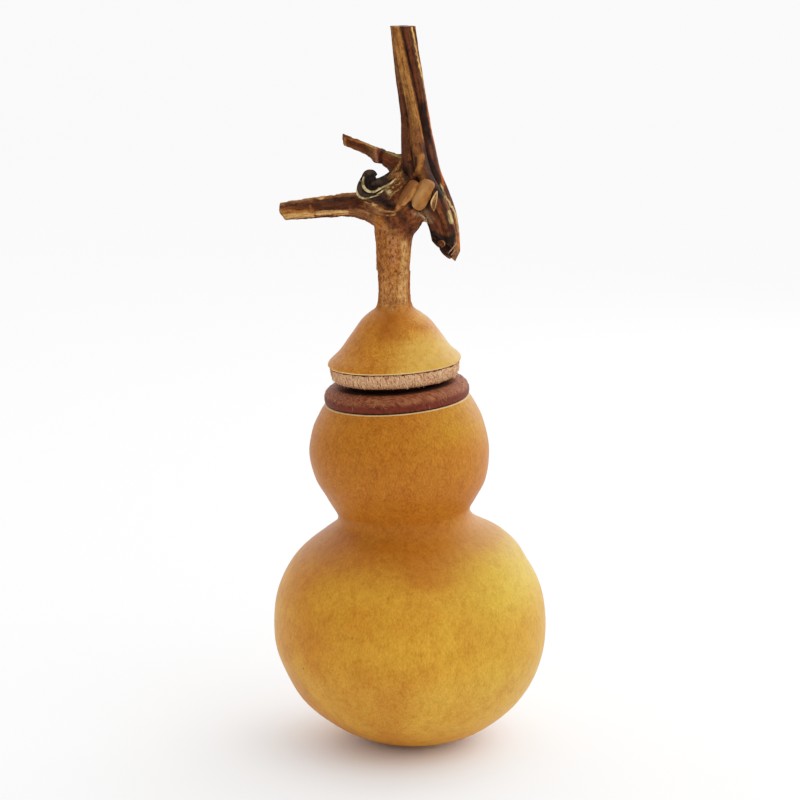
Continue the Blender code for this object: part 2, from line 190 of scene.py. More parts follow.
# Where the vine, the branch and the twig are cut, as a point on the cut and the way out of the wood.
VINE_TOP_CUT = ((0.0, 0.0, 180.4), (0.0, 0.0, 1.0))
VINE_FOOT_CUT = ((7.80, -3.7, 127.5), (-0.56, -0.50, -0.66))
VINE_CORNER_CUT = ((11.2, -5.0, 124.6), (0.88, -0.15, -0.45))
BRANCH_CUT = ((-31.9, -4.0, 136.0), (-1.0, 0.0, 0.05))
BRANCH_CORNER_CUT = ((-31.0, -4.0, 134.85), (-0.78, 0.0, -0.62))
TWIG_CUT = ((-16.6, 6.0, 152.6), (-1.0, 0.0, 0.0))

# The joint's blunt pads and round swellings, as (middle, half sizes, turn about Y, turn about Z).
PADS = [
    ((-0.7, -5.5, 140.5), (1.5, 1.3, 3.8), math.radians(35.0), 0.0),
    ((3.0, -5.4, 140.3), (2.0, 1.6, 4.0), math.radians(25.0), 0.0),
]
PAD_BLUNT = 0.66
PAD_TAPER = 0.12
SWELLINGS = [
    ((-7.4, -2.8, 138.4), (4.4, 3.4, 3.4), math.radians(-12.0), math.radians(20.0)),
    ((1.5, 3.4, 138.5), (4.8, 3.6, 5.2), math.radians(15.0), 0.0),
    ((3.9, -2.4, 136.0), (2.6, 2.0, 2.9), 0.0, 0.0),
]

# The collar, as (radius, height above the mouth), and the plug, as (radius, height above its underside).
FIT_GAP = 0.3
COLLAR_BORE_R = 11.5
COLLAR_SLEEVE_R = 14.4
COLLAR_SLEEVE_LENGTH = 7.5
COLLAR_CROWN = [
    (18.0, FIT_GAP),
    (18.2, 1.0),
    (18.1, 2.0),
    (17.6, 3.0),
    (16.5, 3.8),
    (14.9, 4.2),
    (12.3, 4.3),
]
COLLAR_BORE_EASE = 0.8
PLUG_BELOW_RIM = 4.2
PLUG_PIN_R = 11.0
PLUG_PIN_LENGTH = 6.0
PLUG_PIN_EASE = 0.8
PLUG_SPIGOT_R = 12.0
PLUG_SPIGOT_HEIGHT = 1.4
PLUG_TOP = PLUG_BELOW_RIM - FIT_GAP
PLUG_EDGE = [
    (13.7, 0.0),
    (14.9, 0.35),
    (15.7, 1.3),
    (16.1, 2.6),
    (16.3, PLUG_TOP),
]

# The camera of the reference view, in millimetres. Its image is square, and FOCAL is in the image's pixels.
VIEW_ELEVATION = math.radians(12.5)
VIEW_DISTANCE = 600.0
VIEW_TARGET = (-2.5, 0.0, 88.0)
SENSOR = 36.0
LENS = 108.0
IMAGE_SIZE = 800
VIEW_SIN = math.sin(VIEW_ELEVATION)
VIEW_COS = math.cos(VIEW_ELEVATION)
FOCAL = LENS / SENSOR * IMAGE_SIZE


# Colours


def colour(red, green, blue):
    """A display colour, with channels up to 255, as the linear values that Blender's nodes work in."""

    def linear(channel):
        share = channel / 255.0
        return share / 12.92 if share <= 0.04045 else ((share + 0.055) / 1.055) ** 2.4

    return tuple(linear(channel) for channel in (red, green, blue))


# Shapes


def ease(share):
    """0 to 1, starting and ending gently."""
    share = np.clip(share, 0.0, 1.0)
    return share * share * (3 - 2 * share)


def smooth_through(knots, count):
    """count places along one smooth curve that passes through the knots."""
    knots = np.array(knots, dtype=float)
    steps = np.sqrt(np.linalg.norm(np.diff(knots, axis=0), axis=1))
    times = np.concatenate(([0.0], np.cumsum(steps)))
    low = np.maximum(np.arange(len(knots)) - 1, 0)
    high = np.minimum(np.arange(len(knots)) + 1, len(knots) - 1)
    slopes = (knots[high] - knots[low]) / (times[high] - times[low])[:, None]
    wanted = np.linspace(0.0, times[-1], count)
    span = np.clip(np.searchsorted(times, wanted) - 1, 0, len(knots) - 2)
    length = (times[span + 1] - times[span])[:, None]
    share = (wanted - times[span])[:, None] / length
    squared, cubed = share**2, share**3
    return (
        knots[span] * (2 * cubed - 3 * squared + 1)
        + slopes[span] * length * (cubed - 2 * squared + share)
        + knots[span + 1] * (3 * squared - 2 * cubed)
        + slopes[span + 1] * length * (cubed - squared)
    )


def lean_at(z):
    """How far to the right the gourd's middle lies at this height."""
    for (low, x_low), (high, x_high) in zip(LEAN, LEAN[1:]):
        if z <= high:
            return x_low + (x_high - x_low) * float(ease((z - low) / (high - low)))
    return LEAN[-1][1]


def slanted(slant, share=1.0):
    """The turn of a plane whose front falls and whose right side rises by the slant's two angles."""
    front, side = slant
    return np.array(Matrix.Rotation(front * share, 3, "X") @ Matrix.Rotation(-side * share, 3, "Y"))


def out_of_round(z, angle):
    """A grown gourd isn't quite round: this is the radius's share at a place on its side."""
    share = math.sin(math.pi * min(max(z / MOUTH_Z, 0.0), 1.0))
    return 1.0 + share * (0.006 * np.cos(2 * angle + 0.9) + 0.004 * np.cos(3 * angle - 0.5))


def ribbed(angle, depth, turn=0.0):
    """The radius's share round a ribbed stem: rounded ribs with narrower grooves between them."""
    wave = np.cos(RIBS * (angle - turn))
    return 1.0 + depth * (wave - 0.35 * wave * wave)


def angles_round(sides):
    return 2 * math.pi * np.arange(sides) / sides


def flat_ring(reach, angles):
    """The points of a ring in the level plane, from its radius at each angle."""
    return np.stack((reach * np.cos(angles), reach * np.sin(angles), np.zeros(len(angles))), axis=1)


def grown_ring(z, radius, slant, share, sides):
    """A ring of the gourd at this height, on its leaning middle, slanted by a share of the slant."""
    angles = angles_round(sides)
    ring = flat_ring(radius * out_of_round(z, angles), angles)
    return ring @ slanted(slant, share).T + np.array((lean_at(z), 0.0, z))


def mouth_share(z):
    """How much of the mouth's slant a ring at this height has."""
    return float(ease((z - SLANT_START_Z) / (MOUTH_Z - SLANT_START_Z)))


def lid_share(height):
    """How much of the lid's slant a ring at this height above the rim has."""
    return 1.0 - float(ease(height / TIP_SLANT_FADE))


def unit(vector):
    return vector / np.linalg.norm(vector)


def way_along(middles, index):
    """The way that a stem runs at one of its middles."""
    return unit(middles[min(index + 1, len(middles) - 1)] - middles[max(index - 1, 0)])


def lengths_along(middles):
    """How far along a stem each of its middles lies."""
    return np.concatenate(([0.0], np.cumsum(np.linalg.norm(np.diff(middles, axis=0), axis=1))))


def stem_frames(route, count):
    """The middles, radii and turns of places along a stem's route. A turn's rows are its three axes."""
    places = smooth_through(route, count)
    middles = places[:, :3]
    turns = []
    side_way = np.array((0.0, 1.0, 0.0))
    for index in range(count):
        along = way_along(middles, index)
        side_way = unit(side_way - along * side_way.dot(along))
        turns.append(np.stack((np.cross(along, side_way), side_way, along)))
    return middles, places[:, 3], np.array(turns)


def seen_at(pixel_x, pixel_y, y):
    """The place, in millimetres, that the reference camera sees at a pixel of its image, at this depth y."""
    camera = np.array(VIEW_TARGET) + np.array((0.0, -VIEW_DISTANCE * VIEW_COS, VIEW_DISTANCE * VIEW_SIN))
    right = (pixel_x - IMAGE_SIZE / 2) / FOCAL
    up = (IMAGE_SIZE / 2 - pixel_y) / FOCAL
    ray = np.array((right, VIEW_COS + up * VIEW_SIN, -VIEW_SIN + up * VIEW_COS))
    return camera + ray * (y - camera[1]) / ray[1]


def seen_route(marks):
    """A route of (x, y, z, size) from marks of (pixel x, pixel y, depth y, size)."""
    return [(*seen_at(pixel_x, pixel_y, y), size) for pixel_x, pixel_y, y, size in marks]


def seen_pixels(points):
    """Where the reference camera sees each point, as pixels across and down its image."""
    offset = points - np.array(VIEW_TARGET)
    depth = VIEW_DISTANCE + offset[:, 1] * VIEW_COS - offset[:, 2] * VIEW_SIN
    up = offset[:, 1] * VIEW_SIN + offset[:, 2] * VIEW_COS
    across = IMAGE_SIZE / 2 + FOCAL * offset[:, 0] / depth
    down = IMAGE_SIZE / 2 - FOCAL * up / depth
    return np.column_stack((across, down))


def stroke_share(places, route, width):
    """1 near a route of places, falling gently to 0 at this distance from it."""
    route = np.array(route, dtype=float)
    gap = np.full(len(places), 1e9)
    for start, end in zip(route, route[1:]):
        way = end - start
        share = np.clip((places - start) @ way / way.dot(way), 0.0, 1.0)
        gap = np.minimum(gap, np.linalg.norm(places - start - share[:, None] * way, axis=1))
    return 1.0 - ease((gap / width - 0.3) / 0.9)


def grown_noise(points, size, seed=0.0, octaves=2):
    """Smooth noise between about -1 and 1 at each point, with features of about this size."""
    spots = points / size + seed
    return np.array([noise.fractal(spot, 1.0, 2.0, octaves) for spot in spots.tolist()])


# Meshes


def loft(name, rings, closed=False, low_pole=None, high_pole=None):
    """A mesh object through rings of equally many points, in millimetres, closed on itself or at two poles."""
    rings = np.array(rings)
    rows, sides = rings.shape[:2]
    points = rings.reshape(-1, 3)
    here = np.arange(sides)
    after = (here + 1) % sides
    faces = []
    for row in range(rows if closed else rows - 1):
        low = row * sides
        high = (row + 1) % rows * sides
        faces.extend(np.stack((low + here, low + after, high + after, high + here), axis=1).tolist())
    for row, pole, turned in ((0, low_pole, True), (rows - 1, high_pole, False)):
        if pole is None:
            continue
        tip = np.full(sides, len(points))
        points = np.vstack((points, pole))
        first, second = (after, here) if turned else (here, after)
        faces.extend(np.stack((row * sides + first, row * sides + second, tip), axis=1).tolist())
    return mesh_object(name, points, faces)


def linked(name, data):
    """An object with this data, in the scene."""
    made = bpy.data.objects.new(name, data)
    bpy.context.scene.collection.objects.link(made)
    return made


def mesh_object(name, points, faces):
    """A mesh object at the origin, from points in millimetres."""
    mesh = bpy.data.meshes.new(name)
    mesh.from_pydata((np.array(points) * MM).tolist(), [], faces)
    return linked(name, mesh)


def read_values(items, name, width=1):
    """A row of this many values for each item that a mesh keeps."""
    values = np.empty(len(items) * width)
    items.foreach_get(name, values)
    return values.reshape(-1, width)


def points_of(made):
    """Every vertex of a mesh object, in millimetres."""
    return read_values(made.data.vertices, "co", 3) / MM


def move_points(made, points):
    made.data.vertices.foreach_set("co", (points * MM).ravel())
    made.data.update()


def normals_of(made):
    return read_values(made.data.vertex_normals, "vector", 3)


def push_out(made, amounts):
    """Moves each vertex outwards along its normal by its own amount, in millimetres."""
    move_points(made, points_of(made) + normals_of(made) * np.asarray(amounts)[:, None])


def each_vertex(row_values, sides, poles=()):
    """A value for each vertex of a loft, from one for each of its rings and one for each of its poles."""
    return np.append(np.repeat(row_values, sides), poles)


def mark(made, name, values):
    """Keeps a number for each vertex as an attribute that materials read."""
    layer = made.data.attributes.new(name, "FLOAT", "POINT")
    layer.data.foreach_set("value", np.asarray(values, dtype=np.float32))


def marked(made, name):
    """The number that each vertex keeps under this name."""
    return read_values(made.data.attributes[name].data, "value")[:, 0]


def mark_vector(made, name, values):
    """Keeps a vector for each vertex, in metres, as an attribute that materials read."""
    layer = made.data.attributes.new(name, "FLOAT_VECTOR", "POINT")
    layer.data.foreach_set("vector", (np.asarray(values) * MM).astype(np.float32).ravel())


def mark_colour(made, name, values):
    """Keeps a colour for each vertex as an attribute that materials read."""
    layer = made.data.attributes.new(name, "FLOAT_COLOR", "POINT")
    solid = np.column_stack((values, np.ones(len(values))))
    layer.data.foreach_set("color", solid.astype(np.float32).ravel())


def plain_mesh(made, **options):
    """What an object's modifiers leave, as one plain mesh."""
    bpy.context.view_layer.update()
    graph = bpy.context.evaluated_depsgraph_get()
    return bpy.data.meshes.new_from_object(made.evaluated_get(graph), depsgraph=graph, **options)


def settled(made):
    """The object with its modifiers' result as its own mesh, which keeps every attribute."""
    mesh = plain_mesh(made, preserve_all_data_layers=True)
    made.modifiers.clear()
    made.data = mesh
    return made


def joined(name, parts, bridged=False):
    """One object from several mesh objects, which are then removed. Open edges are bridged where asked."""
    work = bmesh.new()
    for piece in parts:
        work.from_mesh(piece.data)
        bpy.data.objects.remove(piece, do_unlink=True)
    if bridged:
        bmesh.ops.bridge_loops(work, edges=[edge for edge in work.edges if edge.is_boundary])
        face_outwards(work)
    mesh = bpy.data.meshes.new(name)
    work.to_mesh(mesh)
    work.free()
    return linked(name, mesh)


def edited(made, change):
    """Opens an object's mesh, lets a function change it, and keeps the result."""
    work = bmesh.new()
    work.from_mesh(made.data)
    change(work)
    work.to_mesh(made.data)
    work.free()
    return made


def face_outwards(work):
    bmesh.ops.recalc_face_normals(work, faces=work.faces)


def sliced(work, point, way_out):
    """Cuts an open mesh off at a plane through a point in millimetres, and returns the edges of the cut."""
    everything = work.verts[:] + work.edges[:] + work.faces[:]
    through = bmesh.ops.bisect_plane(
        work, geom=everything, plane_co=Vector(point) * MM, plane_no=Vector(way_out), clear_outer=True
    )
    return [item for item in through["geom_cut"] if isinstance(item, bmesh.types.BMEdge)]


def cut_away(made, *cuts):
    """Cuts a closed mesh off at planes, one after another, and closes each cut with one face."""
    for cut in cuts:

        def saw(work):
            bmesh.ops.contextual_create(work, geom=sliced(work, *cut))
            face_outwards(work)

        edited(made, saw)
    return made


def plain_stem(name, route, count, sides, rib_depth=0.0):
    """A closed ribbed stem along a route."""
    middles, radii, turns = stem_frames(route, count)
    angles = angles_round(sides)
    rings = []
    for middle, radius, turn in zip(middles, radii, turns):
        rings.append(flat_ring(radius * ribbed(angles, rib_depth), angles) @ turn + middle)
    return loft(name, rings, low_pole=middles[0], high_pole=middles[-1])


def rounded_form(name, middle, half_sizes, turn_y, turn_z, sides, rows, blunt=1.0, taper=0.0):
    """A rounded lump: a ball, or a blunter form where blunt is below 1, narrower downwards by its taper."""
    angles = angles_round(sides)
    rings = []
    for row in range(1, rows):
        down = math.pi * row / rows
        ring = flat_ring(np.full(sides, math.sin(down) ** blunt * (1.0 - taper * math.cos(down))), angles)
        ring[:, 2] = -math.copysign(abs(math.cos(down)) ** blunt, math.cos(down))
        rings.append(ring)
    turn = np.array(Matrix.Rotation(turn_z, 3, "Z") @ Matrix.Rotation(turn_y, 3, "Y"))
    made = loft(name, rings, low_pole=(0.0, 0.0, -1.0), high_pole=(0.0, 0.0, 1.0))
    move_points(made, (points_of(made) * np.array(half_sizes)) @ turn.T + np.array(middle))
    return made


def ribbon(name, route, thickness, facing, rows=22, sides=10):
    """A flat strip with rounded edges along a route of (x, y, z, width), whose flat looks the facing way."""
    places = smooth_through(route, rows)
    middles = places[:, :3]
    angles = angles_round(sides)
    rings = []
    for index, middle in enumerate(middles):
        along = way_along(middles, index)
        across = unit(np.cross(along, np.array(facing)))
        up = np.cross(across, along)
        half = max(places[index, 3], 0.05) / 2
        ring = np.outer(half * np.cos(angles), across) + np.outer(thickness / 2 * np.sin(angles), up)
        rings.append(ring + middle)
    return edited(loft(name, rings, low_pole=middles[0], high_pole=middles[-1]), face_outwards)


def dress(made, material, node, sharp_degrees=40.0):
    """Gives a piece its material, smooth shading with its real edges sharp, and its place in the model."""
    made.data.materials.clear()
    made.data.materials.append(material)
    made.data.shade_smooth()
    made.data.set_sharp_from_angle(angle=math.radians(sharp_degrees))
    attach(made, "root")
    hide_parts(node)
    return made


# Node trees


class Wire:
    """One output of a node. Plain operators on it add the Math or Vector Math nodes that they stand for."""

    def __init__(self, board, socket):
        self.board = board
        self.socket = socket

    def worked(self, operation, first, second):
        sides = (first, second)
        vector = any(isinstance(side, Wire) and side.socket.type == "VECTOR" for side in sides)
        kind = "ShaderNodeVectorMath" if vector else "ShaderNodeMath"
        return self.board.add(kind, {"operation": operation}, {0: first, 1: second})

    def __add__(self, other):
        return self.worked("ADD", self, other)

    def __radd__(self, other):
        return self.worked("ADD", other, self)

    def __sub__(self, other):
        return self.worked("SUBTRACT", self, other)

    def __rsub__(self, other):
        return self.worked("SUBTRACT", other, self)

    def __mul__(self, other):
        return self.worked("MULTIPLY", self, other)

    def __rmul__(self, other):
        return self.worked("MULTIPLY", other, self)

    def __truediv__(self, other):
        return self.worked("DIVIDE", self, other)

    def __rtruediv__(self, other):
        return self.worked("DIVIDE", other, self)

    def __gt__(self, other):
        return self.worked("GREATER_THAN", self, other)

    def __lt__(self, other):
        return self.worked("LESS_THAN", self, other)

    def output(self, name):
        """Another output of the same node."""
        return Wire(self.board, self.socket.node.outputs[name])


class Board:
    """A node tree that nodes are added to."""

    def __init__(self, tree):
        self.tree = tree

    def add(self, kind, settings=None, values=None, output=0):
        """Adds a node: its settings first, then its sockets' values or links. Returns one output."""
        node = self.tree.nodes.new(kind)
        for name, value in (settings or {}).items():
            if name == "stops":
                self.set_stops(node.color_ramp, value)
            else:
                setattr(node, name, value)
        for name, value in (values or {}).items():
            socket = node.inputs[name]
            if isinstance(value, Wire):
                self.tree.links.new(value.socket, socket)
            else:
                socket.default_value = self.fitted(value, socket)
        return Wire(self, node.outputs[output]) if len(node.outputs) else node

    @staticmethod
    def set_stops(ramp, stops):
        while len(ramp.elements) < len(stops):
            ramp.elements.new(0.5)
        for element, (place, value) in zip(ramp.elements, stops):
            element.position = place
            element.color = (*value, 1.0)

    @staticmethod
    def fitted(value, socket):
        """A value in the form that the socket takes."""
        if socket.type == "VECTOR" and isinstance(value, (int, float)):
            return (value, value, value)
        if socket.type == "RGBA" and len(value) == 3:
            return (*value, 1.0)
        return value

    def mixed(self, share, low, high, blend="MIX"):
        """A colour between two, by a share from 0 to 1."""
        settings = {"data_type": "RGBA", "blend_type": blend}
        return self.add("ShaderNodeMix", settings, {0: share, 6: low, 7: high}, output=2)

    def tinted(self, base, tint, share=1.0):
        """A colour multiplied by another, in part where the share is below 1."""
        return self.mixed(share, base, tint, "MULTIPLY")

    def step(self, wire, low, high):
        """0 at low and 1 at high, with a smooth step between them. Either end may be the higher."""
        start, end = (0.0, 1.0) if low < high else (1.0, 0.0)
        ends = {"From Min": min(low, high), "From Max": max(low, high), "To Min": start, "To Max": end}
        return self.add("ShaderNodeMapRange", {"interpolation_type": "SMOOTHSTEP"}, {"Value": wire, **ends})

    def dot(self, first, second):
        settings = {"operation": "DOT_PRODUCT"}
        return self.add("ShaderNodeVectorMath", settings, {0: first, 1: second}, output="Value")

    def object_place(self):
        return self.add("ShaderNodeTexCoord", output="Object")

    def along(self, place, axis):
        """How far a place lies along an axis, in millimetres."""
        return self.add("ShaderNodeSeparateXYZ", None, {0: place}, output=axis) / MM

    def kept(self, name, output="Fac"):
        """An attribute that the mesh keeps."""
        return self.add("ShaderNodeAttribute", {"attribute_name": name}, output=output)

    def stretched(self, place, stretch, turn=(0.0, 0.0, 0.0)):
        """A place turned and then divided by the stretch along each axis, which draws a pattern out."""
        turned = self.add("ShaderNodeMapping", {"vector_type": "TEXTURE"}, {"Vector": place, "Rotation": turn})
        return turned / stretch

    def clouds(self, place, size, detail=3.0, distortion=0.0, offset=0.0):
        """Noise from 0 to 1 with features of about this size, in millimetres."""
        where = place + (offset, offset, offset) if offset else place
        values = {"Vector": where, "Scale": 1.0 / (size * MM), "Detail": detail, "Distortion": distortion}
        return self.add("ShaderNodeTexNoise", None, values, output="Fac")

    def specks(self, place, spacing, size, share):
        """1 in small round specks, of which only a share of the cells holds one."""
        cells = self.add("ShaderNodeTexVoronoi", None, {"Vector": place, "Scale": 1.0 / (spacing * MM)})
        chance = self.add("ShaderNodeSeparateColor", None, {0: cells.output("Color")}, output=0)
        return self.step(cells, size / spacing, 0.35 * size / spacing) * (chance < share)

    def bump(self, height, depth, strength=1.0, after=None):
        """A surface relief of this depth in millimetres."""
        values = {"Height": height, "Distance": depth * MM, "Strength": strength}
        if after:
            values["Normal"] = after
        return self.add("ShaderNodeBump", None, values)


def new_material(name, roughness=0.5, gloss=0.1):
    """A material with one Principled shader, and the board to draw its nodes on."""
    material = bpy.data.materials.new(name)
    material.use_nodes = True
    shader = material.node_tree.nodes["Principled BSDF"]
    shader.inputs["Roughness"].default_value = roughness
    shader.inputs["Specular IOR Level"].default_value = gloss
    return material, Board(material.node_tree), shader


def finish_shader(board, shader, base, roughness=None, normal=None):
    """Links what changes over the surface into the shader."""
    links = board.tree.links
    links.new(base.socket, shader.inputs["Base Color"])
    if roughness:
        links.new(roughness.socket, shader.inputs["Roughness"])
    if normal:
        links.new(normal.socket, shader.inputs["Normal"])


# Materials

SHADE = colour(14, 6, 5)
SHADE_SHARE = 0.9
# Painted shade in the gap between the plug and the lid's rim.
RIM_GAP_SHADE = colour(64, 12, 7)
PULP = (colour(206, 162, 104), colour(234, 200, 148))
LID_PULP = (colour(206, 162, 100), colour(236, 200, 140))
DRY_INSIDE = (colour(130, 88, 44), colour(166, 122, 66))

# Where the skin changes, as the heights, or the distances to the right, that each change runs between.
WAIST_FOOT = (41.0, 54.0)
WAIST_TOP = (71.0, 59.0)
WAIST_RIGHT_TOP = (56.0, 50.0)
UPPER_FOOT = (56.0, 68.0)
RIGHT_SIDE = (2.0, 26.0)
SUNNY_FOOT = (8.0, 26.0)
SUNNY_TOP = (60.0, 51.0)
SUNNY_DEEPENING = (34.0, 47.0)
CROWN_FOOT = (76.5, 84.0)
CROWN_TOP = (95.0, 91.0)
CROWN_RIGHT_SIDE = (-4.0, 12.0)
LOWER_TOP = (60.0, 50.0)
LOW_BAND_FOOT = (5.0, 12.0)
LOW_BAND_TOP = (30.0, 19.0)
CAP_RIGHT_SIDE = (-1.0, 11.0)

# What parts of the skin are multiplied by.
CROWN_TINT = (1.0, 1.2, 0.75)
RIGHT_TINT = (0.93, 0.98, 1.04)
LOW_BAND_TINT = (1.0, 1.08, 1.5)
MOTTLE_LIGHT = (1.22, 1.16, 1.2)
MOTTLE_DARK = (0.88, 0.74, 0.55)
FINE_LIGHT = (1.4, 1.36, 1.6)
FINE_DARK = (0.74, 0.66, 0.5)
LID_TINT = (1.22, 1.35, 1.45)
CAP_RIGHT_TINT = (0.9, 0.93, 1.0)
CAP_LIGHT = (1.12, 1.14, 1.22)
CAP_DARK = (0.86, 0.78, 0.64)
CAP_FINE_DARK = (0.8, 0.74, 0.6)


def gourd_skin_colour(board, place, settings):
    """The grown skin: clouded ochre with fine mottling, specks and pale scratches, deeper at the waist, partly
    by painted shade in its crease, and paler yellow on the lower bulb's right side by painted light.
    """
    height = board.along(place, "Z")
    side = board.along(place, "X")
    right = board.step(side, *RIGHT_SIDE)
    clouded = board.clouds(place, 22.0, 4.0, 0.6)
    fine = board.clouds(board.stretched(place, (1.0, 1.0, 1.9)), 0.38, 4.0, 0.2)
    mottle = board.clouds(board.stretched(place, (1.0, 1.0, 1.5)), 1.7, 3.0, 0.5, offset=8.0)
    blotch = board.clouds(place, 5.5, 3.0, 0.8, offset=3.1)
    # Painted shade, partly the skin's own browner waist: the waist's crease is darkened, less on its lit right
    # side.
    waist = board.step(height, *WAIST_FOOT) * board.step(height, *WAIST_TOP)
    waist = waist * (1.0 - right * board.step(height, *WAIST_RIGHT_TOP) * 0.7)
    upper = board.step(height, *UPPER_FOOT)
    base = board.mixed(board.step(clouded, 0.35, 0.68), settings.ochre, settings.yellow)
    # Painted light: the lower bulb's right side, where the light falls, is mixed towards a pale yellow.
    sunny = right * board.step(height, *SUNNY_FOOT) * board.step(height, *SUNNY_TOP)
    sunny = sunny * (board.step(height, *SUNNY_DEEPENING) * 0.6 + 0.35)
    base = board.mixed(sunny, base, settings.painted_light_yellow)
    base = board.mixed(upper * 0.8, base, settings.upper_ochre)
    crown = board.step(height, *CROWN_FOOT) * board.step(height, *CROWN_TOP)
    crown_right = board.step(side, *CROWN_RIGHT_SIDE)
    base = board.mixed(crown * (crown_right * 0.15 + 0.15), base, settings.ochre)
    base = board.tinted(base, CROWN_TINT, crown * crown_right)
    # Painted light as well: the lit right side of the lower bulb is tinted less red.
    base = board.tinted(base, RIGHT_TINT, right * board.step(height, *LOWER_TOP))
    low_band = board.step(height, *LOW_BAND_TOP) * board.step(height, *LOW_BAND_FOOT)
    base = board.tinted(base, LOW_BAND_TINT, low_band)
    base = board.mixed(waist * 0.6, base, settings.mottle_and_waist_shade)
    base = board.mixed(board.step(blotch, 0.54, 0.80) * 0.25, base, settings.mottle_and_waist_shade)
    base = board.tinted(base, MOTTLE_LIGHT, board.step(mottle, 0.44, 0.66) * 0.45)
    base = board.tinted(base, MOTTLE_DARK, board.step(mottle, 0.5, 0.3) * 0.6)
    base = board.tinted(base, FINE_LIGHT, board.step(fine, 0.47, 0.66) * (upper * 0.22 + 0.38))
    base = board.tinted(base, FINE_DARK, board.step(fine, 0.51, 0.34) * (upper * 0.24 + 0.44))
    scratch_place = board.stretched(place, (7.0, 1.0, 1.0), (0.0, math.radians(24.0), 0.0))
    scratches = board.step(board.clouds(scratch_place, 0.8, 2.0, 0.2), 0.76, 0.82)
    base = board.mixed(scratches * 0.35, base, settings.scratch)
    specks = board.specks(place, 9.0, 0.40, 0.5) + board.specks(place, 4.1, 0.22, 0.3) * 0.7
    return board.mixed(specks * 0.8, base, settings.speck), fine, blotch


def gourd_skin(settings):
    """The hollow body's skin, with its pale sawn edge and its dry inside."""
    material, board, shader = new_material("gourd_skin", settings.roughness, settings.gloss)
    place = board.object_place()
    base, fine, blotch = gourd_skin_colour(board, place, settings)
    pulp = board.mixed(board.clouds(place, 0.8, 4.0), *PULP)
    inside = board.mixed(board.clouds(place, 3.0, 4.0), *DRY_INSIDE)
    base = board.mixed(board.kept("inside"), base, inside)
    base = board.mixed(board.kept("cut"), base, pulp)
    base = board.mixed(board.kept("shade") * SHADE_SHARE, base, SHADE)
    roughness = settings.roughness + (fine - 0.5) * 0.14 + board.kept("cut") * 0.3 + board.kept("inside") * 0.3
    relief = board.bump(blotch, 0.08, 0.4)
    relief = board.bump(fine, 0.03, 0.3, relief)
    finish_shader(board, shader, base, roughness, relief)
    return material


def dark_wood(settings):
    """The collar's dark wood: deep red-brown low down, greyer and dusty on top, with short dark ticks."""
    material, board, shader = new_material("dark_wood", 0.62)
    place = board.object_place()
    crown = board.kept("crown")
    grain = board.stretched(place, (5.0, 1.0, 1.4), (0.0, math.radians(34.0), math.radians(-14.0)))
    streaks = board.clouds(grain, 0.5, 3.0, 0.2)
    broad = board.clouds(place, 4.0, 3.0, 0.5)
    low = board.mixed(board.step(streaks, 0.3, 0.7), settings.dark, settings.red)
    high = board.mixed(board.step(streaks, 0.3, 0.7), settings.red, settings.brown)
    base = board.mixed(board.step(crown + (broad - 0.5) * 0.7, 0.25, 0.85), low, high)
    dust = board.step(board.clouds(grain, 0.24, 2.0, 0.0, offset=1.7), 0.58, 0.72) * board.step(crown, 0.1, 0.7)
    base = board.mixed(dust * 0.5, base, settings.dust)
    upright = board.stretched(place, (1.0, 1.0, 4.0))
    ticks = board.step(board.clouds(upright, 0.30, 2.0, 0.0, offset=5.2), 0.62, 0.72)
    base = board.mixed(ticks * 0.7, base, settings.tick)
    base = board.mixed(board.kept("shade") * SHADE_SHARE, base, SHADE)
    relief = board.bump(streaks, 0.04, 0.5)
    relief = board.bump(ticks, 0.04, 0.5, relief)
    finish_shader(board, shader, base, 0.55 + streaks * 0.2, relief)
    return material


def pale_wood(settings):
    """The plug's pale wood, whose sawn side is rough with standing fibres and brown gaps between them."""
    material, board, shader = new_material("pale_wood", 0.8)
    place = board.object_place()
    upright = board.stretched(place, (1.0, 1.0, 5.0), (math.radians(6.0), math.radians(-14.0), 0.0))
    fibre = board.clouds(upright, 0.24, 3.0, 0.8)
    broad = board.clouds(place, 4.0, 3.0, 0.5)
    base = board.mixed(board.step(fibre, 0.38, 0.56), settings.gap, settings.pale)
    base = board.mixed(board.step(broad, 0.45, 0.8) * 0.5, base, settings.pink)
    # Painted shade: the plug's pin, underside and lower edge, which face down, are darkened with the gaps'
    # brown.
    base = board.mixed(board.kept("low_edge") * 0.6, base, settings.gap)
    # Painted shade: dark dashes along the plug's top edge, in the gap under the lid's rim.
    base = board.mixed(board.kept("crack") * 0.95, base, RIM_GAP_SHADE)
    base = board.mixed(board.kept("shade") * SHADE_SHARE, base, SHADE)
    relief = board.bump(fibre, 0.12, 0.8)
    finish_shader(board, shader, base, None, relief)
    return material


def fibre_material(name, low, high, roughness=0.75):
    """Loose fibres, which differ a little from one to the next."""
    material, board, shader = new_material(name, roughness)
    place = board.object_place()
    base = board.mixed(board.step(board.clouds(place, 0.4, 2.0), 0.40, 0.60), low, high)
    finish_shader(board, shader, base)
    return material


# What the bark's clouds, streaks, grains and pits multiply its colour by.
BARK_CLOUDS = ((1.3, 1.3, 1.3), (0.62, 0.54, 0.48))
BARK_STREAKS = (colour(170, 150, 136), (1.6, 1.6, 1.6))
BARK_GRAINS = ((1.6, 1.7, 1.8), (0.6, 0.52, 0.46))
BARK_PITS = (0.3, 0.22, 0.16)


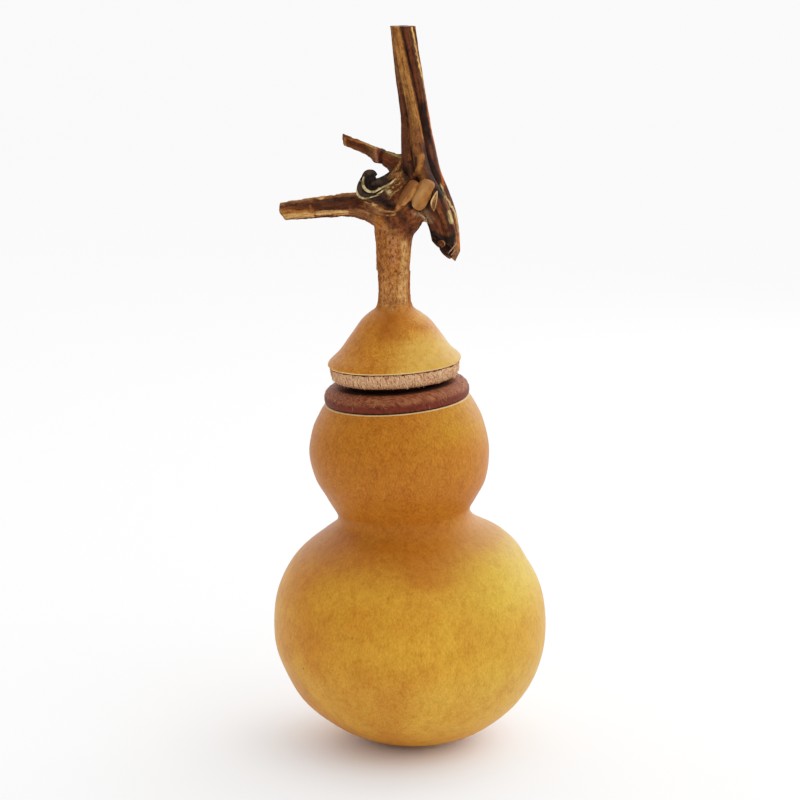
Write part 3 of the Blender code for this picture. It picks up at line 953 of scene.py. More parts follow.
def bark_colour(board, place):
    """Dry bark over the colour that the mesh keeps: streaks along the grain, pits and pale grains."""
    painted = board.kept("tone", "Color")
    grain = board.kept("grain", "Vector")
    streak = board.clouds(grain, 0.55, 4.0, 0.4)
    fleck = board.clouds(grain, 0.42, 3.0, 0.6, offset=2.3)
    sand = board.clouds(place, 0.34, 3.0)
    broad = board.clouds(place, 1.9, 3.0, 0.6, offset=6.1)
    base = board.tinted(painted, BARK_CLOUDS[0], board.step(broad, 0.46, 0.66) * 0.7)
    base = board.tinted(base, BARK_CLOUDS[1], board.step(broad, 0.5, 0.34) * 0.7)
    base = board.tinted(base, BARK_STREAKS[0], board.step(streak, 0.54, 0.34) * 0.8)
    base = board.tinted(base, BARK_STREAKS[1], board.step(streak, 0.54, 0.74) * 0.6)
    base = board.tinted(base, BARK_GRAINS[0], board.step(sand, 0.5, 0.66) * 0.5)
    base = board.tinted(base, BARK_GRAINS[1], board.step(sand, 0.46, 0.34) * 0.6)
    pits = board.step(fleck, 0.40, 0.30)
    base = board.tinted(base, BARK_PITS, pits * 0.8)
    return base, streak, pits, sand


def lid_skin(settings):
    """The lid: gourd skin on the cap, which turns into bark up the stalk, with a pale sawn rim."""
    material, board, shader = new_material("lid_skin", settings.roughness, settings.gloss)
    place = board.object_place()
    skin, fine, blotch = gourd_skin_colour(board, place, settings)
    skin = board.tinted(skin, LID_TINT)
    mottled = (fine - 0.5) * 0.6 + (blotch - 0.5) * 0.8
    # Painted light: the cap's right side and its upturned lower part, where the light falls, are mixed towards a
    # pale yellow, and its lit right side is tinted less red.
    light = board.step(board.kept("cap_light") + mottled * 0.5, 0.0, 1.1)
    skin = board.mixed(light * 0.7, skin, settings.cap_light)
    skin = board.tinted(skin, CAP_RIGHT_TINT, board.step(board.along(place, "X"), *CAP_RIGHT_SIDE))
    # Painted shade: the cap is darkened towards the stalk's foot and on its left side, away from the light.
    dark = board.step(board.kept("cap_shade") + mottled * 0.5, 0.0, 1.1)
    skin = board.mixed(dark * 0.85, skin, settings.cap_shade_brown)
    patchy = board.clouds(place, 1.6, 3.0, 0.5, offset=4.4)
    skin = board.tinted(skin, CAP_LIGHT, board.step(patchy, 0.48, 0.66) * 0.7)
    skin = board.tinted(skin, CAP_DARK, board.step(patchy, 0.5, 0.32) * 0.7)
    skin = board.tinted(skin, CAP_FINE_DARK, board.step(fine, 0.5, 0.34) * 0.3)
    bark, streak, pits, sand = bark_colour(board, place)
    grown = board.kept("bark")
    base = board.mixed(grown, skin, bark)
    pulp = board.mixed(board.clouds(place, 0.8, 4.0), *LID_PULP)
    base = board.mixed(board.kept("cut"), base, pulp)
    roughness = settings.roughness + (fine - 0.5) * 0.12 + grown * 0.3
    height = (streak * 0.6 + sand * 0.3 - pits * 0.9) * grown
    relief = board.bump(blotch * (1.0 - grown), 0.10, 0.5)
    relief = board.bump(height, 0.3, 0.7, relief)
    finish_shader(board, shader, base, roughness, relief)
    return material


def vine_bark():
    """The vine's ribs, each of its own brown, with dark grooves, partly painted shade, and fine streaks along
    it.
    """
    material, board, shader = new_material("vine_bark", 0.68)
    place = board.object_place()
    base, streak, pits, sand = bark_colour(board, place)
    relief = board.bump(streak * 0.8 + sand * 0.2 - pits, 0.25, 0.7)
    finish_shader(board, shader, base, 0.6 + streak * 0.2, relief)
    return material


# Geometry Nodes


def new_node_group(name, inputs):
    """A geometry tree with inputs of (name, socket type, default). Returns the tree, board and inputs."""
    tree = bpy.data.node_groups.new(name, "GeometryNodeTree")
    tree.interface.new_socket("Geometry", in_out="INPUT", socket_type="NodeSocketGeometry")
    tree.interface.new_socket("Geometry", in_out="OUTPUT", socket_type="NodeSocketGeometry")
    for label, kind, default in inputs:
        socket = tree.interface.new_socket(label, in_out="INPUT", socket_type=kind)
        if default is not None:
            socket.default_value = default
    board = Board(tree)
    given = board.add("NodeGroupInput")
    return tree, board, given


def give_group(made, tree, values):
    """Gives an object a geometry tree, with the tree's named inputs set."""
    modifier = made.modifiers.new(tree.name, "NODES")
    modifier.node_group = tree
    identifiers = {item.name: item.identifier for item in tree.interface.items_tree if item.in_out == "INPUT"}
    for name, value in values.items():
        modifier[identifiers[name]] = value


def finish_group(board, given, geometry):
    """Ends a geometry tree: its instances become real, take the given material and are put out."""
    real = board.add("GeometryNodeRealizeInstances", None, {"Geometry": geometry})
    values = {"Geometry": real, "Material": given.output("Material")}
    board.add("NodeGroupOutput", None, {0: board.add("GeometryNodeSetMaterial", None, values)})


def tube(board, curve, sides, radius=1.0):
    """A round tube along a curve, with closed ends."""
    circle = {"Resolution": sides, "Radius": 1.0}
    profile = board.add("GeometryNodeCurvePrimitiveCircle", {"mode": "RADIUS"}, circle)
    values = {"Curve": curve, "Profile Curve": profile, "Fill Caps": True, "Scale": radius}
    return board.add("GeometryNodeCurveToMesh", None, values)


def hair_shape(board, bow):
    """One hair of unit length and thickness, standing on the origin, with a bow to one side."""
    ends = {"Start": (0.0, 0.0, 0.0), "End": (0.0, bow * 0.5, 1.0)}
    handles = {"Start Handle": (bow, 0.0, 0.35), "End Handle": (bow, bow * 0.4, 0.7)}
    curve = board.add(
        "GeometryNodeCurvePrimitiveBezierSegment", {"mode": "POSITION"}, {**ends, **handles, "Resolution": 4}
    )
    return tube(board, curve, 3)


# How far a hair bows aside, as a multiple of its thickness, and the shortest one's share of the full length.
HAIR_BOW = 4.0
SHORTEST_HAIR = 0.35


def bristle_group():
    """Hairs scattered on a surface. Each lies along the way given, strays from it a little and lifts off."""
    inputs = [
        ("Density", "NodeSocketFloat", 1.0e6),
        ("Length", "NodeSocketFloat", 0.001),
        ("Thickness", "NodeSocketFloat", 0.00003),
        ("Way", "NodeSocketVector", (0.0, 0.0, 1.0)),
        ("Stray", "NodeSocketFloat", 0.3),
        ("Lift", "NodeSocketFloat", 0.1),
        ("Seed", "NodeSocketInt", 1),
        ("Material", "NodeSocketMaterial", None),
    ]
    tree, board, given = new_node_group("bristles", inputs)
    where = board.add("GeometryNodeInputNamedAttribute", {"data_type": "FLOAT"}, {"Name": "fringe"})
    seed = given.output("Seed")
    scattered = board.add(
        "GeometryNodeDistributePointsOnFaces",
        {"distribute_method": "RANDOM"},
        {"Mesh": given.output("Geometry"), "Density": given.output("Density") * where, "Seed": seed},
    )
    normal = scattered.output("Normal")
    stray = board.add(
        "FunctionNodeRandomValue",
        {"data_type": "FLOAT_VECTOR"},
        {0: (-1.0, -1.0, -1.0), 1: (1.0, 1.0, 1.0), "Seed": seed},
    )
    way = given.output("Way") + stray * given.output("Stray")
    lying = way - normal * board.dot(way, normal) + normal * given.output("Lift")
    turn = board.add("FunctionNodeAlignRotationToVector", {"axis": "Z"}, {"Vector": lying})
    draw = {2: SHORTEST_HAIR, 3: 1.0, "Seed": seed + 1}
    length = board.add("FunctionNodeRandomValue", {"data_type": "FLOAT"}, draw, output=1)
    size = board.add(
        "ShaderNodeCombineXYZ",
        None,
        {"X": given.output("Thickness"), "Y": given.output("Thickness"), "Z": given.output("Length") * length},
    )
    placed = board.add(
        "GeometryNodeInstanceOnPoints",
        None,
        {"Points": scattered, "Instance": hair_shape(board, HAIR_BOW), "Rotation": turn, "Scale": size},
    )
    finish_group(board, given, placed)
    return tree


def strand_group():
    """Loose strands along guide curves: each guide is repeated, and every strand wanders from it on its own."""
    inputs = [
        ("Strands", "NodeSocketInt", 6),
        ("Spread", "NodeSocketFloat", 0.0005),
        ("Thickness", "NodeSocketFloat", 0.00008),
        ("Seed", "NodeSocketFloat", 0.0),
        ("Material", "NodeSocketMaterial", None),
    ]
    tree, board, given = new_node_group("strands", inputs)
    many = board.add(
        "GeometryNodeDuplicateElements",
        {"domain": "SPLINE"},
        {"Geometry": given.output("Geometry"), "Amount": given.output("Strands")},
    )
    count = many.output("Duplicate Index")
    fine = board.add("GeometryNodeResampleCurve", {"mode": "COUNT"}, {"Curve": many, "Count": 12})
    place = board.add("GeometryNodeInputPosition")
    wander = board.add(
        "ShaderNodeTexNoise",
        {"noise_dimensions": "4D"},
        {"Vector": place, "W": count * 7.31 + given.output("Seed"), "Scale": 150.0, "Detail": 0.0},
        output="Color",
    )
    offset = board.add("ShaderNodeVectorMath", {"operation": "SUBTRACT"}, {0: wander, 1: (0.5, 0.5, 0.5)})
    offset = offset * (given.output("Spread") * 4.0)
    moved = board.add("GeometryNodeSetPosition", None, {"Geometry": fine, "Offset": offset})
    share = board.add("GeometryNodeSplineParameter", output="Factor")
    taper = 1.0 - (share * 2.0 - 1.0) * (share * 2.0 - 1.0) * 0.8
    finish_group(board, given, tube(board, moved, 5, given.output("Thickness") * taper))
    return tree


def guide_curves(name, routes):
    """A curve object with one open spline for each route of places in millimetres."""
    curve = bpy.data.curves.new(name, "CURVE")
    curve.dimensions = "3D"
    for route in routes:
        places = smooth_through([place[:3] for place in route], 12)
        spline = curve.splines.new("POLY")
        spline.points.add(len(places) - 1)
        for point, place in zip(spline.points, places):
            point.co = (*(place * MM), 1.0)
    return linked(name, curve)


def strands(name, routes, values):
    """Loose strands along routes, as one plain mesh object."""
    guides = guide_curves(name + "_guides", routes)
    give_group(guides, bpy.data.node_groups.get("strands") or strand_group(), values)
    mesh = plain_mesh(guides)
    bpy.data.objects.remove(guides, do_unlink=True)
    mesh.name = name
    return linked(name, mesh)


def bristles(name, carrier, values):
    """Hairs scattered on a carrier's fringe, as one plain mesh object. The carrier stays as it is."""
    made = linked(name, carrier.data.copy())
    give_group(made, bpy.data.node_groups.get("bristles") or bristle_group(), values)
    settled(made)
    made.data.name = name
    return made


# The gourd's body

SHELL_SIDES = 224
SHELL_ROWS = 175
LIP = 0.2
SKIN_DIP = 0.05
SKIN_DENT = 0.07
SKIN_START_Z = 4.0


def shell_outline():
    """The shell's rings, from the scar up the outside, over the sawn edge and down the inside."""
    spot = [(SCAR_DEPTH, 0.5), (SCAR_DEPTH, 1.4), (SCAR_DEPTH * 0.7, 1.9), (0.1, 2.3), (0.0, 2.8), (0.0, 5.0)]
    rows = [(z, radius, 0.0, 0.0) for z, radius in spot]
    outline = smooth_through(BULB_OUTLINE, SHELL_ROWS)
    rows += [(z, radius, 0.0, 0.0) for z, radius in outline if z < MOUTH_Z - LIP]
    rows.append((MOUTH_Z - LIP, MOUTH_R + 0.12, 0.0, 0.0))
    rows.append((MOUTH_Z - LIP * 0.9, MOUTH_R + 0.05, 1.0, 0.0))
    rows.append((MOUTH_Z - LIP * 0.3, MOUTH_R - 0.22, 1.0, 0.0))
    rows.append((MOUTH_Z, MOUTH_R - 0.45, 1.0, 0.0))
    rows.append((MOUTH_Z, MOUTH_INNER_R + 0.3, 1.0, 0.0))
    rows.append((MOUTH_Z - 0.3, MOUTH_INNER_R, 1.0, 1.0))
    for before, place, after in reversed(list(zip(outline, outline[1:], outline[2:]))[::3]):
        along = (after - before) / np.linalg.norm(after - before)
        z = place[0] + WALL * along[1]
        radius = place[1] - WALL * along[0]
        if z < MOUTH_Z - WALL / 2:
            rows.append((z, radius, 0.0, 1.0))
    return rows


def gourd_shell(settings):
    rows = shell_outline()
    rings = [grown_ring(z, radius, MOUTH_SLANT, mouth_share(z), SHELL_SIDES) for z, radius, cut, inside in rows]
    low_pole = (lean_at(SCAR_DEPTH), 0.0, SCAR_DEPTH)
    high_pole = (lean_at(WALL), 0.0, WALL)
    made = loft("gourd_shell", rings, low_pole=low_pole, high_pole=high_pole)
    cut = each_vertex([row[2] for row in rows], SHELL_SIDES, (0.0, 0.0))
    inside = each_vertex([row[3] for row in rows], SHELL_SIDES, (0.0, 1.0))
    points = points_of(made)
    skin = (1 - inside) * (1 - cut) * ease(points[:, 2] / SKIN_START_Z)
    dents = grown_noise(points, 15.0, 4.2) + 0.4 * grown_noise(points, 5.0, 9.1)
    push_out(made, skin * (SKIN_DENT * np.clip(dents, -1.4, 1.0) - SKIN_DIP - SKIN_DENT))
    mark(made, "cut", cut)
    mark(made, "inside", inside)
    mark(made, "shade", each_vertex([float(row[0] == MOUTH_Z) for row in rows], SHELL_SIDES, (0.0, 0.0)))
    return dress(made, gourd_skin(settings), "gourd_body")


# The turned collar and plug

COLLAR_SIDES = 256
PLUG_SIDES = 720


def turned_rings(outline, sides, place, slant):
    """The rings of a turned piece from its outline of (radius, height), on a slanted plane."""
    angles = angles_round(sides)
    turn = slanted(slant)
    rings = []
    for radius, height in outline:
        ring = flat_ring(np.full(sides, radius), angles)
        ring[:, 2] = height
        rings.append(ring @ turn.T + np.array(place))
    return rings


def between(first, last, count):
    """Places evenly spaced from the first to just before the last."""
    first, last = np.array(first), np.array(last)
    return [tuple(first + (last - first) * step / count) for step in range(count)]


def on_front(points):
    """1 well in front of the middle, falling gently to 0 just in front of it."""
    return ease(-(points[:, 1] + 1.0) / 7.0)


def collar_ring(settings):
    """The dark collar: a rounded crown with turning marks, and its sleeve down inside the mouth."""
    crown = [tuple(place) for place in smooth_through(COLLAR_CROWN, 72)]
    top = COLLAR_CROWN[-1][1]
    outline = [
        *between((COLLAR_SLEEVE_R, -COLLAR_SLEEVE_LENGTH), (COLLAR_SLEEVE_R, FIT_GAP), 8),
        *between((COLLAR_SLEEVE_R, FIT_GAP), crown[0], 6),
        *crown,
        (COLLAR_BORE_R + 0.25, top - 0.25),
        *between((COLLAR_BORE_R, top - COLLAR_BORE_EASE), (COLLAR_BORE_R, -COLLAR_SLEEVE_LENGTH), 10),
        (COLLAR_BORE_R, -COLLAR_SLEEVE_LENGTH + 0.2),
        (COLLAR_BORE_R + 0.2, -COLLAR_SLEEVE_LENGTH),
    ]
    place = (lean_at(MOUTH_Z), 0.0, MOUTH_Z)
    made = loft("collar_ring", turned_rings(outline, COLLAR_SIDES, place, MOUTH_SLANT), closed=True)
    first = outline.index(crown[0])
    last = first + len(crown)
    chance = random.Random(31)
    marks = np.zeros(len(outline))
    for row in range(first + 2, last):
        marks[row] = chance.uniform(-settings.mark_depth, 0.0)
    push_out(made, each_vertex(marks, COLLAR_SIDES))
    reach, heights = np.array(outline).T
    on_crown = np.zeros(len(outline))
    on_crown[first:last] = ease((heights[first:last] - 0.6) / 3.0)
    points = points_of(made)
    aside = ease((np.abs(points[:, 0] - place[0]) - 5.0) / 7.0)
    mark(made, "shade", each_vertex(ease((16.0 - reach) / 1.2), COLLAR_SIDES) * on_front(points))
    mark(made, "crown", each_vertex(on_crown, COLLAR_SIDES))
    mark(made, "fringe", each_vertex(on_crown * (reach > 15.6), COLLAR_SIDES) * (0.25 + 0.75 * aside))
    dress(made, dark_wood(settings), "mouth_collar")
    return made


def collar_fibres(carrier, settings):
    """Pale wood hairs and dust that lie on the collar's crown."""
    dust = fibre_material("collar_dust", colour(124, 80, 60), colour(172, 128, 102))
    values = {
        "Density": settings.dust_density,
        "Length": 0.6 * MM,
        "Thickness": 0.022 * MM,
        "Way": (0.6, 0.1, -0.7),
        "Stray": 0.55,
        "Lift": 0.05,
        "Seed": 11,
        "Material": dust,
    }
    short = bristles("collar_dust", carrier, values)
    dress(short, dust, "mouth_collar")


def plug_disc(settings):
    """The pale plug: its rough-sawn flange, its pin in the collar's bore and its spigot in the lid's rim."""
    edge = [tuple(place) for place in smooth_through(PLUG_EDGE, 18)]
    top = PLUG_TOP + PLUG_SPIGOT_HEIGHT
    outline = [
        (PLUG_PIN_R * 0.5, -PLUG_PIN_LENGTH),
        (PLUG_PIN_R - PLUG_PIN_EASE, -PLUG_PIN_LENGTH),
        (PLUG_PIN_R, PLUG_PIN_EASE - PLUG_PIN_LENGTH),
        (PLUG_PIN_R, -0.2),
        (PLUG_PIN_R + 0.2, 0.0),
        (PLUG_PIN_R + 1.6, 0.0),
        *edge,
        (PLUG_EDGE[-1][0] - 0.15, PLUG_TOP),
        (PLUG_SPIGOT_R + 0.2, PLUG_TOP),
        (PLUG_SPIGOT_R, PLUG_TOP + 0.2),
        (PLUG_SPIGOT_R, top - 0.2),
        (PLUG_SPIGOT_R - 0.2, top),
        (PLUG_SPIGOT_R * 0.5, top),
    ]
    turn = slanted(LID_SLANT)
    rim_middle = np.array((lean_at(RIM_Z), 0.0, RIM_Z))
    place = rim_middle + turn @ np.array((0.0, 0.0, -PLUG_BELOW_RIM))
    low_pole = place + turn @ np.array((0.0, 0.0, -PLUG_PIN_LENGTH))
    high_pole = place + turn @ np.array((0.0, 0.0, top))
    rings = turned_rings(outline, PLUG_SIDES, place, LID_SLANT)
    made = loft("plug_disc", rings, low_pole=low_pole, high_pole=high_pole)
    heights = np.array(outline)[:, 1]
    first = outline.index(edge[0])
    rows_on_edge = np.zeros(len(outline))
    rows_on_edge[first : first + len(edge)] = 1.0
    on_edge = each_vertex(rows_on_edge, PLUG_SIDES, (0.0, 0.0))
    low = 1.0 - ease((heights - 0.2) / 1.1)
    under = 1.0 - ease((heights + 0.05) / 0.25)
    standing = (heights > 1.5) & (heights < PLUG_TOP - 0.3)
    top_edge = (heights > PLUG_TOP - 0.25) & (heights < PLUG_TOP + 0.1)
    points = points_of(made)
    fibre = grown_noise(points * np.array((1.0, 1.0, 0.2)), 0.26, 7.0, 3)
    clumps = grown_noise(points * np.array((1.0, 1.0, 0.5)), 1.6, 3.0)
    push_out(made, on_edge * (settings.fibre_depth * (np.clip(fibre, -1.0, 0.6) - 0.6) + 0.05 * (clumps - 0.8)))
    dashes = ease((grown_noise(points * np.array((1.0, 1.0, 0.1)), 1.1, 12.0) + 0.1) / 0.3)
    mark(made, "fringe", on_edge * each_vertex(standing, PLUG_SIDES, (0.0, 0.0)))
    # Painted shade on the pin, the underside and the lower edge.
    mark(made, "low_edge", each_vertex(low, PLUG_SIDES, (1.0, 0.0)))
    mark(made, "shade", each_vertex(under, PLUG_SIDES, (1.0, 0.0)) * on_front(points))
    # Painted shade in the gap under the lid's rim, as broken dashes.
    mark(made, "crack", each_vertex(top_edge, PLUG_SIDES, (0.0, 0.0)) * dashes)
    dress(made, pale_wood(settings), "lid_plug", 60.0)
    return made


def plug_fibres(carrier, settings):
    """The fuzz of torn fibres on the plug's sawn side."""
    fuzz = fibre_material("plug_fuzz", settings.pink, settings.fuzz)
    values = {
        "Density": settings.fuzz_density,
        "Length": 1.1 * MM,
        "Thickness": 0.026 * MM,
        "Way": (0.22, 0.0, -1.0),
        "Stray": 0.55,
        "Lift": 0.03,
        "Seed": 5,
        "Material": fuzz,
    }
    standing = bristles("plug_fibres", carrier, values)
    dress(standing, fuzz, "lid_plug", 60.0)


# The lid's cap, stalk and joint

CAP_SIDES = 160
STALK_SEAM_Z = 121.0
STALK_RIB_START_Z = 112.0
STALK_RIB_FULL_Z = 118.0
RIM_LIP = 0.3

GOLD_BROWN = colour(138, 80, 30)
TAN = colour(146, 92, 42)
PALE_TAN = colour(186, 138, 82)
CREAM = colour(190, 162, 106)
YELLOW = colour(196, 148, 62)
ORANGE_EDGE_HIGHLIGHT = colour(150, 72, 14)
BROWN = colour(94, 49, 24)
RED_BROWN = colour(80, 30, 14)
STALK_TAN = colour(163, 106, 56)
STALK_EDGE = colour(131, 73, 26)
DARK_BROWN = colour(58, 29, 14)
GREY_BROWN = colour(112, 82, 56)
PURPLE_BROWN = colour(56, 30, 22)
NEAR_BLACK = colour(22, 13, 9)
PINK_TAN = colour(165, 106, 76)
OLIVE = colour(150, 126, 66)
DULL_TAN = colour(118, 78, 46)
RIB_TAN = colour(134, 88, 40)
LOW_TAN = colour(106, 62, 30)
LEFT_BROWN = colour(70, 38, 20)
BRANCH_TAN = colour(134, 86, 46)
RING_RUST = colour(54, 18, 9)
PITH_RUST = colour(46, 17, 9)
HOLLOW_SHADE = colour(32, 12, 7)

# The bark's colours run up the stalk: tan, then golden from the first height, then brown from the second.
GOLDEN_Z = 115.0
BROWN_Z = 127.8
BARK_FOOT_Z = 109.9
JOINT_FOOT_Z = 131.0


def stalk_ring(x, y, z, radius, sides):
    """A ring of the stalk, whose slight ribs start just above its foot."""
    angles = angles_round(sides)
    grown = float(ease((z - STALK_RIB_START_Z) / (STALK_RIB_FULL_Z - STALK_RIB_START_Z)))
    share = 1.0 + grown * (ribbed(angles, STALK_RIB_DEPTH) - 1.0)
    return flat_ring(radius * share, angles) + np.array((x, y, z))


def cap_loft():
    """The hollow cap, from its inside over the sawn rim and up the outside into the stalk, open at its top."""
    rows = [(height, radius, 0.0) for height, radius in reversed(smooth_through(TIP_HOLLOW, 22))]
    rows.append((0.0, TIP_HOLLOW[0][1] + 0.3, 1.0))
    rows.append((0.0, TIP_OUTLINE[0][1] - 0.12, 1.0))
    outline = smooth_through(TIP_OUTLINE, 78)
    rows += [(height, radius, float(height < RIM_LIP)) for height, radius in outline]
    rings = []
    for height, radius, cut in rows:
        rings.append(grown_ring(RIM_Z + height, radius, LID_SLANT, lid_share(height), CAP_SIDES))
    cuts = [cut for height, radius, cut in rows]
    foot_z = RIM_Z + TIP_OUTLINE[-1][0]
    foot = (lean_at(foot_z), 0.0, foot_z, TIP_OUTLINE[-1][1])
    for x, y, z, radius in smooth_through([foot, *STALK_ROUTE], 100):
        if foot_z + 0.1 < z < STALK_SEAM_Z - 0.3:
            rings.append(stalk_ring(x, y, z, radius, CAP_SIDES))
            cuts.append(0.0)
    made = loft("lid_cap", rings, low_pole=(lean_at(RIM_Z), 0.0, RIM_Z + TIP_HOLLOW_TOP))
    mark(made, "cut", each_vertex(cuts, CAP_SIDES, 0.0))
    return made


def joint_skin(settings):
    """The upper stalk, branch, twig, curled shoot and swellings under one skin, open at the stalk's seam."""
    parts = [
        plain_stem("stalk", [(-4.00, 0.0, 112.5, 4.0), *STALK_ROUTE], 70, 80, STALK_RIB_DEPTH),
        cut_away(plain_stem("branch", BRANCH_ROUTE, 70, 60, BRANCH_RIB_DEPTH), BRANCH_CUT, BRANCH_CORNER_CUT),
        cut_away(plain_stem("twig", TWIG_ROUTE, 60, 40), TWIG_CUT),
        plain_stem("curl", CURL_ROUTE, 50, 40),
    ]
    parts += [rounded_form(f"swelling_{index}", *facts, 32, 20) for index, facts in enumerate(SWELLINGS)]
    made = joined("joint_skin", parts)
    skin = made.modifiers.new("skin", "REMESH")
    skin.mode = "VOXEL"
    skin.voxel_size = settings.voxel * MM
    soften = made.modifiers.new("soften", "SMOOTH")
    soften.factor = 0.5
    soften.iterations = settings.soften_steps
    return edited(settled(made), lambda work: sliced(work, (0.0, 0.0, STALK_SEAM_Z), (0.0, 0.0, -1.0)))


def nearest_on_stems(points, stems):
    """For each point: its nearest stem, its place along it and in its axes, and every stem's weight there."""
    best = np.full(len(points), 1e9)
    which = np.zeros(len(points), dtype=int)
    shares = []
    along = np.zeros(len(points))
    local = np.zeros((len(points), 3))
    for index, route in enumerate(stems):
        middles, radii, turns = stem_frames(route, 60)
        lengths = lengths_along(middles)
        gaps = np.linalg.norm(points[:, None, :] - middles[None, :, :], axis=2)
        nearest = np.argmin(gaps, axis=1)
        share = gaps[np.arange(len(points)), nearest] / radii[nearest]
        offset = np.einsum("ij,ikj->ik", points - middles[nearest], turns[nearest])
        shares.append(share)
        closer = share < best
        best[closer] = share[closer]
        which[closer] = index
        along[closer] = (lengths[nearest] + offset[:, 2])[closer]
        local[closer] = (offset / radii[nearest][:, None])[closer]
    weights = np.exp((best - np.array(shares)) / 0.15)
    return which, along, local, weights / weights.sum(axis=0)


def blend_colours(base, other, share):
    """Colours for each vertex, moved towards another by a share for each."""
    return base + (np.array(other) - base) * np.clip(share, 0.0, 1.0)[:, None]


def hump(values, middle, width):
    """1 where values are at the middle, falling off smoothly over this width to both sides."""
    return np.exp(-(((values - middle) / width) ** 2))


def joint_tones(made, weights, local):
    """The bark's colour at each vertex: the stalk, branch, twig and curled shoot each have their own."""
    points = points_of(made)
    z = points[:, 2]
    wander = grown_noise(points * np.array((1.0, 1.0, 0.4)), 2.2, 5.0)
    tones = np.tile(np.array(STALK_TAN), (len(points), 1))
    side = np.abs(local[:, 0])
    tones = blend_colours(tones, STALK_EDGE, ease((side - 0.7) / 0.25) * weights[0])
    golden = ease((z + 3.0 * wander - GOLDEN_Z) / 9.0)
    tones = blend_colours(tones, GOLD_BROWN, golden * weights[0] * 0.85)
    brown = ease((z + 0.75 * points[:, 0] + 2.0 * wander - BROWN_Z) / 3.5)
    tones = blend_colours(tones, BROWN, brown * weights[0])
    branch = weights[1] * ease((-6.0 - points[:, 0]) / 4.0)
    tones = blend_colours(tones, BROWN, np.maximum(branch, weights[2]))
    curl = weights[3] * ease((-3.0 - points[:, 0]) / 2.0)
    tones = blend_colours(tones, NEAR_BLACK, curl)
    return painted(made, tones, JOINT_STROKES)


def painted(made, tones, strokes):
    """The colours with strokes over them, on what faces the front. A stroke is (route, width, colour,
    strength), with its route and width in pixels of the reference view."""
    points = points_of(made)
    front = ease((0.25 - normals_of(made)[:, 1]) / 0.45)
    waver = np.column_stack([grown_noise(points, 0.9, seed, 2) for seed in (3.0, 13.0)])
    places = seen_pixels(points) + 0.8 * waver
    for route, width, tone, strength in strokes:
        tones = blend_colours(tones, tone, stroke_share(places, route, width) * strength * front)
    return tones


